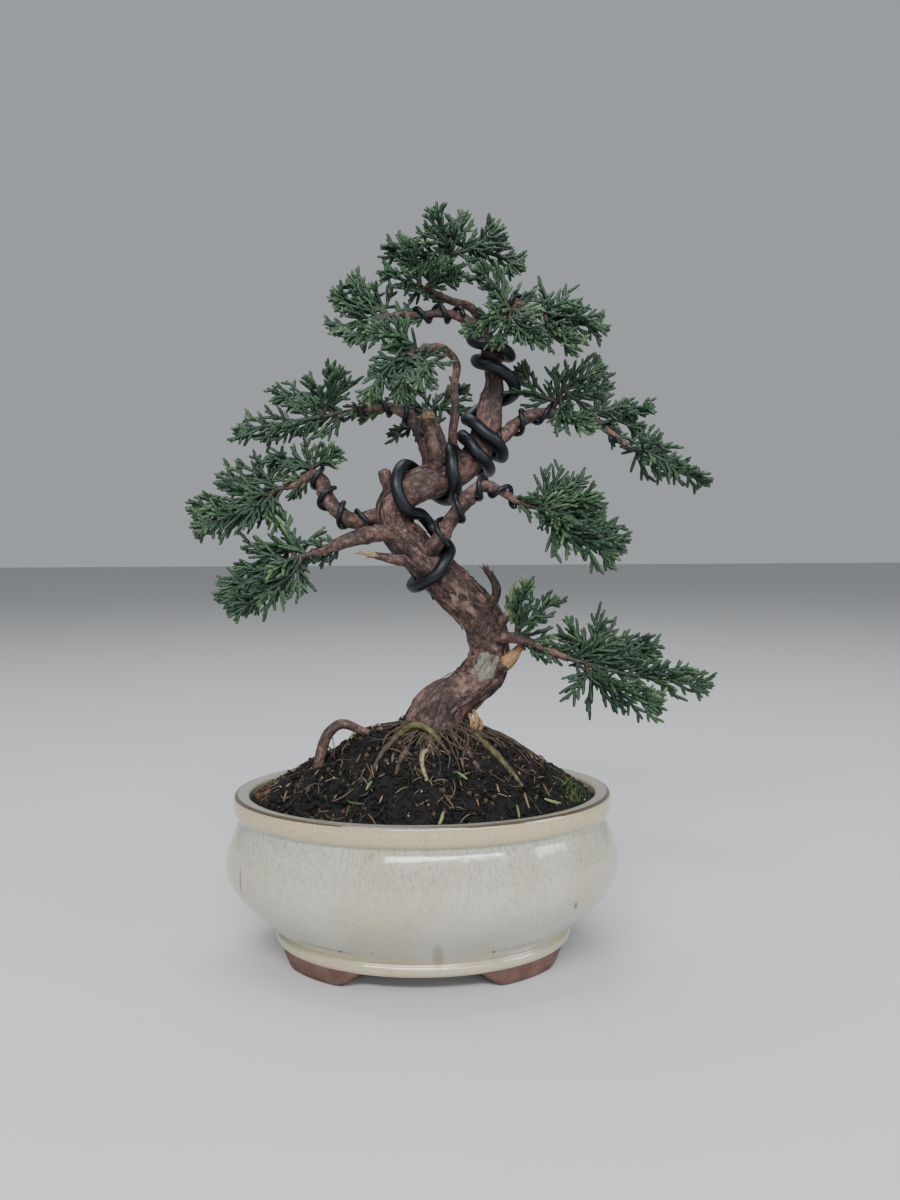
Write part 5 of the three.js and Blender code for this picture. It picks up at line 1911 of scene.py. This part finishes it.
@dataclass
class Branches:
    """Living branches, and dead ones whose tips are bare."""

    radius: float = 2.4
    step: float = 0.5
    sides: int = 22

    def limb(self, stations: Sequence[Station]) -> Route:
        """A branch's route."""
        return PLACE.limb(stations, self.radius)

    def one(
        self, name: str, stations: Sequence[Station], finish: bpy.types.Material, to: str,
        bare: Any = None, splinters: int = 0,
    ) -> None:
        """Makes one branch with its collar and its small knots.

        Args:
            name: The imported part's name.
            stations: The branch's route.
            finish: Its bark.
            to: The record's material slot.
            bare: Where the bark is gone, or None.
            splinters: Torn fibres at the tip.
        """
        limb = self.limb(stations)
        at = limb.stations(self.step)
        centres = limb.at(at)
        run = np.arange(len(at)) * self.step
        radii = limb.radius(at) * (1 + 0.3 * np.exp(-run / 3.0))
        seed = sum(ord(letter) for letter in name)
        rng = np.random.default_rng(seed)
        for _ in range(max(2, len(at) // 14)):
            knot = rng.uniform(2, run[-1] if run[-1] > 3 else 3)
            radii = radii * (1 + rng.uniform(0.06, 0.2) * np.exp(-((run - knot) / 0.9) ** 2))
        mesher = Mesher()
        mesher.tube(centres, radii, self.sides, relief=Relief(
            plates=0.55, depth=0.26, lumps=0.34, fibres=0.12, cracked=0.6, offset=seed % 50,
            bare=bare))
        for _ in range(splinters):
            root = rng.uniform(limb.last * 0.72, limb.last)
            out = limb.outward(root, rng.uniform(0, 360))[0]
            base = limb.at(root)[0] + out * limb.radius(root)[0] * 0.6
            aim = unit(limb.along(root)[0] + 0.35 * out + rng.normal(0, 0.12, 3))
            reach = rng.uniform(1.6, 4.2)
            line = base + aim * np.linspace(-0.4, 1, 4)[:, None] * reach
            mesher.tube(line, np.array([0.3, 0.26, 0.17, 0.04]), 5, (rng.uniform(0.3, 1), 1, 1),
                        0.6)
        made = mesher.make(f"{name}_wood", [finish], to)
        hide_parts(name)

    def build(self, bark: bpy.types.Material) -> None:
        """Makes every living branch."""
        for name, stations in BRANCHES.items():
            self.one(name, stations, bark, "bark")

    def build_dead(
        self, tan: bpy.types.Material, torn: bpy.types.Material, bleached: bpy.types.Material,
        dead: bpy.types.Material,
    ) -> None:
        """Makes every dead branch.

        Args:
            tan: Bark over dry tan wood.
            torn: Bark over bright torn wood.
            bleached: Bark over wood that has gone pale.
            dead: The dark bark of a dead twig.
        """
        bare = {
            "dead_stub_left": (0.55, 1.0, tan, 5),
            "sawn_stub_bend": (0.97, 1.2, tan, 0),
            "sawn_stub_upright": (0.86, 1.0, tan, 0),
            "dead_twig_right": (0.95, 1.3, dead, 7),
            "torn_stub_right": (0.35, 0.55, torn, 9),
            "torn_tip_right": (0.2, 0.6, bleached, 4),
        }
        for name, stations in DEAD_BRANCHES.items():
            start, end, finish, splinters = bare[name]
            self.one(name, stations, finish, "bare_wood", laid_bare(start, end), splinters)


@dataclass
class Roots:
    """Surface roots: the named ones, and a fan of thin ones down the front of the mound."""

    soil: Soil
    radius: float = 1.6
    fan_count: int = 86
    fan_front: int = 64
    seed: int = 8

    def route(self, stations: Sequence[Station]) -> Route:
        """A root's route over the soil."""
        x = np.array([PLACE.trunk_foot + s[0] for s in stations])
        y = np.array([s[1] for s in stations], float)
        z = self.soil.top(x, y) + np.array([s[2] for s in stations]) + 0.3
        return Route(np.stack([x, y, z], axis=1), [self.radius * s[3] for s in stations])

    def build(
        self, bark: bpy.types.Material, brown: bpy.types.Material, green: bpy.types.Material,
        pale: bpy.types.Material,
    ) -> None:
        """Makes the roots.

        Args:
            bark: The arching root's bark.
            brown: The common root bark.
            green: The olive root's bark.
            pale: The pale root's bark.
        """
        finishes = {"root_green_arch": green, "root_pale": pale, "root_right_long": green,
                    "root_arch": bark}
        for order, (name, stations) in enumerate(ROOTS.items()):
            root = self.route(stations)
            at = root.stations(0.45)
            mesher = Mesher()
            mesher.tube(root.at(at), root.radius(at), 18, relief=Relief(
                plates=0.7, depth=0.16, lumps=0.3, fibres=0.07, offset=order * 3.3))
            if name == "root_arch":
                self.rootlets(mesher, root)
            made = mesher.make(f"{name}_wood", [finishes.get(name, brown)], "root_bark")
            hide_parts(name)
        self.fan(brown)

    def rootlets(self, mesher: Mesher, root: Route) -> None:
        """Adds the thin roots that drop from under the arch."""
        for station, lean, thick in ((1.55, 3.2, 0.34), (2.1, 1.2, 0.2), (3.3, 2.6, 0.26),
                                     (1.2, -0.8, 0.24)):
            start = root.at(station)[0]
            foot = start + [lean, -0.8, 0]
            foot[2] = float(self.soil.top(foot[0], foot[1])) - 0.5
            middle = (start + foot) / 2 + [0.5, -0.4, 0.3]
            line = Route([start, middle, foot], [1, 1, 1])
            at = line.stations(0.6)
            mesher.tube(line.at(at), np.linspace(thick, thick * 0.6, len(at)), 7)

    def fan(self, brown: bpy.types.Material) -> None:
        """Makes the thin roots that spread from the trunk's foot, mostly to the front."""
        rng = np.random.default_rng(self.seed)
        mesher = Mesher()
        for number in range(self.fan_count):
            front = number < self.fan_front
            swung = rng.uniform(-150, -78) if number % 2 else rng.uniform(-165, -15)
            heading = math.radians(swung if front else rng.uniform(0, 360))
            start, reach = rng.uniform(6.5, 10.5), rng.uniform(7, 21)
            thick = rng.uniform(0.18, 0.6) if front else rng.uniform(0.1, 0.3)
            steps = np.linspace(0, 1, 12)
            bend = rng.uniform(-0.5, 0.5)
            wave = rng.uniform(0.02, 0.1) * np.sin(steps * rng.uniform(4, 9) + rng.uniform(0, 6))
            angle = heading + bend * steps + wave
            out = start + reach * steps
            x = PLACE.trunk_foot + 1.5 + out * np.cos(angle)
            y = 0.82 * out * np.sin(angle)
            limit = np.hypot(x / self.soil.half_width, y / self.soil.half_width / 0.713)
            inside = limit < 0.93
            if inside.sum() < 5:
                continue
            x, y, steps = x[inside], y[inside], steps[inside]
            lift = 0.55 + thick * 0.7 + rng.uniform(0, 0.9) * np.sin(np.pi * steps)
            lift = lift - 1.3 * smooth(steps, 0.85, 1.0)
            z = self.soil.top(x, y) + lift
            radii = thick * (1 - 0.55 * steps)
            mesher.tube(np.column_stack([x, y, z]), radii, 7, (rng.uniform(0.1, 1), 1, 0))
        mesher.make("root_fan", [brown], "root_bark")


# ---- Training wires -----------------------------------------------------------------------


@dataclass
class TrainingWires:
    """The heavy wire up the trunk and the thin wires on the branches."""

    heavy: float = 1.9
    thin: float = 0.75
    standoff: float = 0.18
    turn_step: float = 22.5

    def wound(self, limb: Route, marks: Sequence[Sequence[float]], radius: float) -> Route:
        """A wire's route on a limb.

        Args:
            limb: What it is wound round.
            marks: Station, degrees and lift off the bark, in order.
            radius: The wire's radius.

        Returns:
            The route.
        """
        points = []
        for i, (start, end) in enumerate(zip(marks, marks[1:])):
            steps = max(2, math.ceil(abs(end[1] - start[1]) / self.turn_step))
            for step in range(1 if i else 0, steps + 1):
                t = step / steps
                station = start[0] + (end[0] - start[0]) * t
                degrees = start[1] + (end[1] - start[1]) * t
                low = start[2] if len(start) > 2 else 0.0
                high = end[2] if len(end) > 2 else 0.0
                off = limb.radius(station)[0] + radius + self.standoff + low + (high - low) * t
                points.append(limb.at(station)[0] + limb.outward(station, degrees)[0] * off)
        return Route(points, np.full(len(points), radius))

    def make(self, name: str, route: Route, radius: float, finish: bpy.types.Material) -> None:
        """Makes one wire with its snipped ends.

        Args:
            name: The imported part's name.
            route: Its route.
            radius: Its radius.
            finish: Its coating.
        """
        at = route.stations(radius * 0.5)
        radii = np.full(len(at), radius)
        radii[0] = radii[-1] = radius * 0.86
        mesher = Mesher()
        mesher.tube(route.at(at), radii, 18, dome=0.08)
        made = mesher.make(f"{name}_coated", [finish], "training_wire")
        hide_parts(name)

    def build(self, trunk: Trunk, branches: Branches) -> None:
        """Makes every wire.

        Args:
            trunk: The trunk that the heavy wire climbs.
            branches: The branches that the thin wires follow.
        """
        finish = WireFinish().material()
        heavy = self.wound(trunk.stem(), TRUNK_WIRE_MARKS, self.heavy)
        self.make("trunk_wire", heavy, self.heavy, finish)
        for branch, (start, end, turns, first) in BRANCH_COILS.items():
            limb = branches.limb(BRANCHES[branch])
            count = 4 * abs(turns)
            marks = [(start + (end - start) * i / count, first + 360 * turns * i / count)
                     for i in range(count + 1)]
            route = self.wound(limb, marks, self.thin)
            self.make(branch.replace("branch", "wire"), route, self.thin, finish)


# ---- Foliage ------------------------------------------------------------------------------


@dataclass
class Foliage:
    """Sprays of cord-like juniper shoots, feathered twice from each twig."""

    twig_radius: float = 0.85
    shoot: float = 0.57
    spacing: float = 1.12
    feather: float = 1.6
    reached: float = 0.95
    first_fork: float = 0.16
    fork_step: float = 0.1
    seed: int = 40

    def shoot_line(
        self, mesher: Mesher, start: np.ndarray, aim: np.ndarray, sweep: np.ndarray,
        length: float, thick: float, tone: float, tips: tuple[float, float],
    ) -> tuple[np.ndarray, np.ndarray]:
        """Adds one cord-like shoot that bends from its aim towards its sweep.

        Args:
            mesher: What collects it.
            start: Where it leaves its twig.
            aim: Its first direction.
            sweep: The direction that it bends towards.
            length: Its length.
            thick: Its radius.
            tone: Its own tone.
            tips: How near the spray's tips its two ends are, from 0 to 1.

        Returns:
            Five places along it and the direction at each.
        """
        t = np.linspace(0, 1, 5)[:, None]
        line = start + length * (aim * t + 0.28 * sweep * t * t)
        heading = unit(aim + 0.56 * sweep * t)
        full = np.interp(np.linspace(0, 1, 6), t[:, 0], np.arange(5))
        low = np.minimum(full.astype(int), 3)
        ring = line[low] + (line[low + 1] - line[low]) * (full - low)[:, None]
        radii = thick * np.array([0.9, 1.0, 0.92, 1.02, 0.9, 0.66])
        # The tip share pales the shoot outwards: fresher growth, with painted shade towards the
        # spray's heart.
        rise = tips[0] + (tips[1] - tips[0]) * np.linspace(0, 1, 6)
        mark = np.stack([np.full(6, tone), rise, np.zeros(6)], axis=1)
        mesher.tube(ring, radii, 5, mark, dome=0.75)
        return line, heading

    def branchlet(
        self, mesher: Mesher, start: np.ndarray, aim: np.ndarray, forward: np.ndarray,
        length: float, rng: np.random.Generator, tone: float,
    ) -> None:
        """Adds one feathered branchlet: an axis with shoots on both sides.

        Args:
            mesher: What collects it.
            start: Where it leaves the twig.
            aim: Its direction.
            forward: The twig's direction, which everything sweeps towards.
            length: Its length.
            rng: The stream of random numbers.
            tone: Its tone.
        """
        line, heading = self.shoot_line(mesher, start, aim, forward * 0.7, length,
                                        self.shoot * 0.98, tone, (0.0, 1.0))
        normal = unit(np.cross(aim, forward) + rng.normal(0, 0.25, 3))
        count = int(length * 0.88 / self.feather)
        side = rng.choice([-1, 1])
        for number in range(count):
            t = (number + 0.6) / (count + 0.4)
            at = t * 4
            low = min(int(at), 3)
            base = line[low] + (line[low + 1] - line[low]) * (at - low)
            ahead = heading[low]
            side = -side
            across = np.cross(normal, ahead) * side
            out = unit(ahead * rng.uniform(0.85, 1.2) + across * rng.uniform(0.55, 0.85)
                       + normal * rng.normal(0, 0.3))
            long = rng.uniform(0.4, 0.7) * length * (1.12 - 0.55 * t)
            long = float(np.clip(long, 2.4, 6.6))
            shade = float(np.clip(tone + rng.normal(0, 0.13), 0, 1))
            thick = self.shoot * rng.uniform(0.85, 1.05)
            part, ways = self.shoot_line(mesher, base, out, ahead * 0.7, long, thick, shade,
                                         (0.45 * t, 1.0))
            if long > 4.0 and rng.uniform() < 0.55:
                aim = unit(ways[1] + across * rng.uniform(-0.9, 0.7)
                           + normal * rng.normal(0, 0.4))
                self.shoot_line(mesher, part[1], aim, ahead * 0.6, long * rng.uniform(0.4, 0.6),
                                thick * 0.92, shade, (0.5, 1.0))

    def twig(
        self, mesher: Mesher, route: Route, reach: float, rng: np.random.Generator, bare: float
    ) -> None:
        """Adds one twig: a woody axis and its branchlets.

        Args:
            mesher: What collects it.
            route: The twig's route.
            reach: How far its branchlets reach.
            rng: The stream of random numbers.
            bare: Share of it without branchlets.
        """
        at = route.stations(0.9) * self.reached
        share = at / route.last
        woody = 1 - smooth(share, 0.08, 0.36)
        # The twig's low tip share darkens it: partly its age, partly painted shade in the spray's
        # heart.
        mark = np.stack([np.full(len(at), 0.4), share * 0.6, woody], axis=1)
        mesher.tube(route.at(at), route.radius(at), 8, mark, dome=0.6)
        self.clothe(mesher, route, reach, rng, bare)
        end = route.at(route.last * self.reached)[0]
        forward = route.along(route.last)[0]
        for turn in (0, 75, -75, 180):
            out = route.outward(route.last, turn + rng.normal(0, 25))[0]
            aim = unit(forward + out * (0.12 if turn == 0 else rng.uniform(0.25, 0.5)))
            self.branchlet(mesher, end - forward * 0.8, aim, forward, reach * 0.56, rng,
                           float(rng.uniform(0.4, 0.9)))

    def clothe(
        self, mesher: Mesher, route: Route, reach: float, rng: np.random.Generator, bare: float
    ) -> None:
        """Adds the branchlets along a route, now to one side and now to the other.

        Args:
            mesher: What collects them.
            route: What they grow from.
            reach: How far they reach.
            rng: The stream of random numbers.
            bare: Share of it without branchlets.
        """
        line = route.at(route.stations(0.9))
        length = float(np.sum(np.linalg.norm(np.diff(line, axis=0), axis=1)))
        count = max(3, int(length * (self.reached - bare) / self.spacing))
        for number in range(count):
            t = bare + (self.reached - bare) * (number + rng.uniform(0.2, 0.8)) / count
            station = t * route.last
            forward = route.along(station)[0]
            turn = (90 if number % 2 else -90) + rng.normal(0, 36)
            if number % 4 == 3:
                turn = rng.uniform(0, 360)
            out = route.outward(station, turn)[0]
            aim = unit(forward * rng.uniform(0.75, 1.4) + out + [0, 0, 0.12])
            long = reach * rng.uniform(0.8, 1.3) * (1.1 - 0.52 * t)
            start = route.at(station)[0]
            self.branchlet(mesher, start, aim, forward, long, rng,
                           float(np.clip(rng.normal(0.5, 0.22), 0, 1)))

    def spray(self, name: str, plan: SprayPlan, finish: bpy.types.Material, seed: int) -> None:
        """Makes one spray.

        Args:
            name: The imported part's name.
            plan: Its twigs.
            finish: Its colour.
            seed: Starts its stream of random numbers.
        """
        rng = np.random.default_rng(seed)
        mesher = Mesher()

        def grown(points: np.ndarray) -> Route:
            """A tapering twig through places."""
            return Route(points, self.twig_radius * np.linspace(1.0, 0.5, len(points)))

        main = grown(PLACE.grown(plan.twig))
        self.twig(mesher, main, plan.reach, rng, 0.03)
        for order, fork in enumerate(plan.forks):
            start = main.at(main.last * (self.first_fork + self.fork_step * order))
            route = grown(np.vstack([start, PLACE.grown(fork)]))
            self.twig(mesher, route, plan.reach, rng, 0.08)
        if name in CLOTHED:
            branch, start = CLOTHED[name]
            limb = PLACE.limb(BRANCHES[branch], Branches.radius)
            self.clothe(mesher, limb, plan.reach * 0.85, rng, start)
        if name == "spray_low_right_tuft":
            self.dry_tip(mesher, rng)
        made = mesher.make(f"{name}_shoots", [finish], "foliage")
        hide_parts(name)

    def dry_tip(self, mesher: Mesher, rng: np.random.Generator) -> None:
        """Adds the bleached shoots that curl over the low tuft."""
        base = PLACE.grown([(22.8, -8.4, 30)])[0]
        for lean, tall in ((-1.0, 15.5), (0.8, 13.0), (2.2, 11.0)):
            t = np.linspace(0, 1, 9)
            line = base + np.stack([lean * t + 2.4 * t ** 3, -1.5 * t, tall * (t - 0.16 * t ** 4)],
                                   axis=1)
            radii = np.interp(t, [0, 0.5, 0.8, 1], [0.5, 0.8, 0.5, 0.1])
            mark = np.tile((1.6 + rng.uniform(0, 0.3), 1.4, 0.0), (9, 1))
            mesher.tube(line, radii, 7, mark, 0.4)

    def build(self) -> None:
        """Makes every spray."""
        finish = ShootFinish().material()
        for order, (name, plan) in enumerate(SPRAYS.items()):
            self.spray(name, plan, finish, self.seed + order)


# ---- Studio -------------------------------------------------------------------------------


@dataclass
class Studio:
    """A pale floor, soft lights and the camera."""

    lens: float = 27.75
    pitch_down: float = 3.31
    roll: float = -0.32
    camera_from_pot: Point = (8.9, -285.7, 126.2)

    def camera(self) -> None:
        """Makes the camera and gives it to the scene."""
        data = bpy.data.cameras.new("view")
        data.lens = self.lens
        data.sensor_width = 36.0
        data.clip_start = 0.01
        data.clip_end = 20.0
        camera = bpy.data.objects.new("view", data)
        bpy.context.scene.collection.objects.link(camera)
        at = (np.array(self.camera_from_pot) + PLACE.middle) * MM
        tilt = Euler((math.radians(90 - self.pitch_down), 0, 0)).to_matrix().to_4x4()
        turn = Matrix.Rotation(math.radians(self.roll), 4, "Z")
        camera.matrix_world = Matrix.Translation(Vector(at)) @ tilt @ turn
        bpy.context.scene.camera = camera

    def light(
        self, name: str, at: Point, aim: Point, size: tuple[float, float], power: float,
        colour: Colour,
    ) -> None:
        """Makes one soft light.

        Args:
            name: Its name.
            at: Its place, in metres.
            aim: What it points at.
            size: Its width and height.
            power: Its power in watts.
            colour: Its colour.
        """
        data = bpy.data.lights.new(name, "AREA")
        data.shape = "RECTANGLE"
        data.size, data.size_y = size
        data.energy = power
        data.color = colour
        made = bpy.data.objects.new(name, data)
        bpy.context.scene.collection.objects.link(made)
        made.location = at
        made.rotation_euler = (Vector(aim) - Vector(at)).to_track_quat("-Z", "Y").to_euler()

    def build(self) -> None:
        """Makes the floor, the lights and the even light from all round."""
        mesh = bpy.data.meshes.new("floor")
        reach = 6.0
        mesh.from_pydata([(-reach, -reach, 0), (reach, -reach, 0), (reach, reach, 0),
                          (-reach, reach, 0)], [], [(0, 1, 2, 3)])
        mesh.materials.append(FloorFinish().material())
        floor = bpy.data.objects.new("floor", mesh)
        bpy.context.scene.collection.objects.link(floor)
        world = bpy.data.worlds.new("studio")
        world.use_nodes = True
        sky = world.node_tree.nodes["Background"]
        sky.inputs["Color"].default_value = (0.86, 0.9, 0.95, 1.0)
        sky.inputs["Strength"].default_value = 0.42
        bpy.context.scene.world = world
        self.light("key", (-0.16, -0.85, 0.86), (0, 0, 0.1), (1.0, 0.16), 15.0, (1.0, 0.985, 0.96))
        self.light("front", (0.2, -1.1, 0.5), (0, 0, 0.1), (1.2, 0.07), 6.0, (0.97, 0.98, 1.0))
        self.light("side", (0.9, -0.4, 0.55), (0, 0, 0.1), (0.4, 0.5), 4.5, (0.95, 0.98, 1.0))
        self.light("top", (-0.1, 0.2, 1.1), (0, 0, 0.1), (0.9, 0.6), 9.0, (0.96, 0.98, 1.0))


def main() -> None:
    """Builds the studio and then the plant, from the pot up."""
    logging.basicConfig(level=logging.INFO, format="%(message)s")
    studio = Studio()
    studio.camera()
    studio.build()
    Pot().build()
    DrainScreens().build()
    soil = Soil()
    soil.build()
    bark = BarkFinish("juniper_bark").material()
    tan = BarkFinish("dry_wood", bare=(0.33, 0.22, 0.13)).material()
    torn = BarkFinish("torn_wood", bare=(0.37, 0.22, 0.115)).material()
    bleached = BarkFinish("bleached_wood", bare=(0.4, 0.36, 0.24)).material()
    dead = BarkFinish("dead_bark", middle=(0.026, 0.02, 0.019), light=(0.1, 0.08, 0.074),
                      bare=(0.11, 0.09, 0.076)).material()
    Roots(soil).build(
        bark,
        BarkFinish("root_brown", (0.013, 0.01, 0.008), (0.05, 0.036, 0.026), (0.15, 0.115, 0.078),
                   rust=(0.09, 0.055, 0.03), fibre=2.4, relief=0.15).material(),
        BarkFinish("root_olive", (0.022, 0.019, 0.01), (0.072, 0.063, 0.029), (0.185, 0.17, 0.085),
                   rust=(0.12, 0.085, 0.035), fibre=2.4, relief=0.12).material(),
        BarkFinish("root_pale", (0.07, 0.055, 0.032), (0.22, 0.18, 0.11), (0.42, 0.37, 0.26),
                   rust=(0.2, 0.13, 0.07), fibre=2.4, relief=0.12).material(),
    )
    trunk = Trunk()
    trunk.build(bark, torn)
    branches = Branches()
    branches.build(bark)
    branches.build_dead(tan, torn, bleached, dead)
    TrainingWires().build(trunk, branches)
    Foliage().build()
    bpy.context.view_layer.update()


if __name__ == "__main__":
    main()
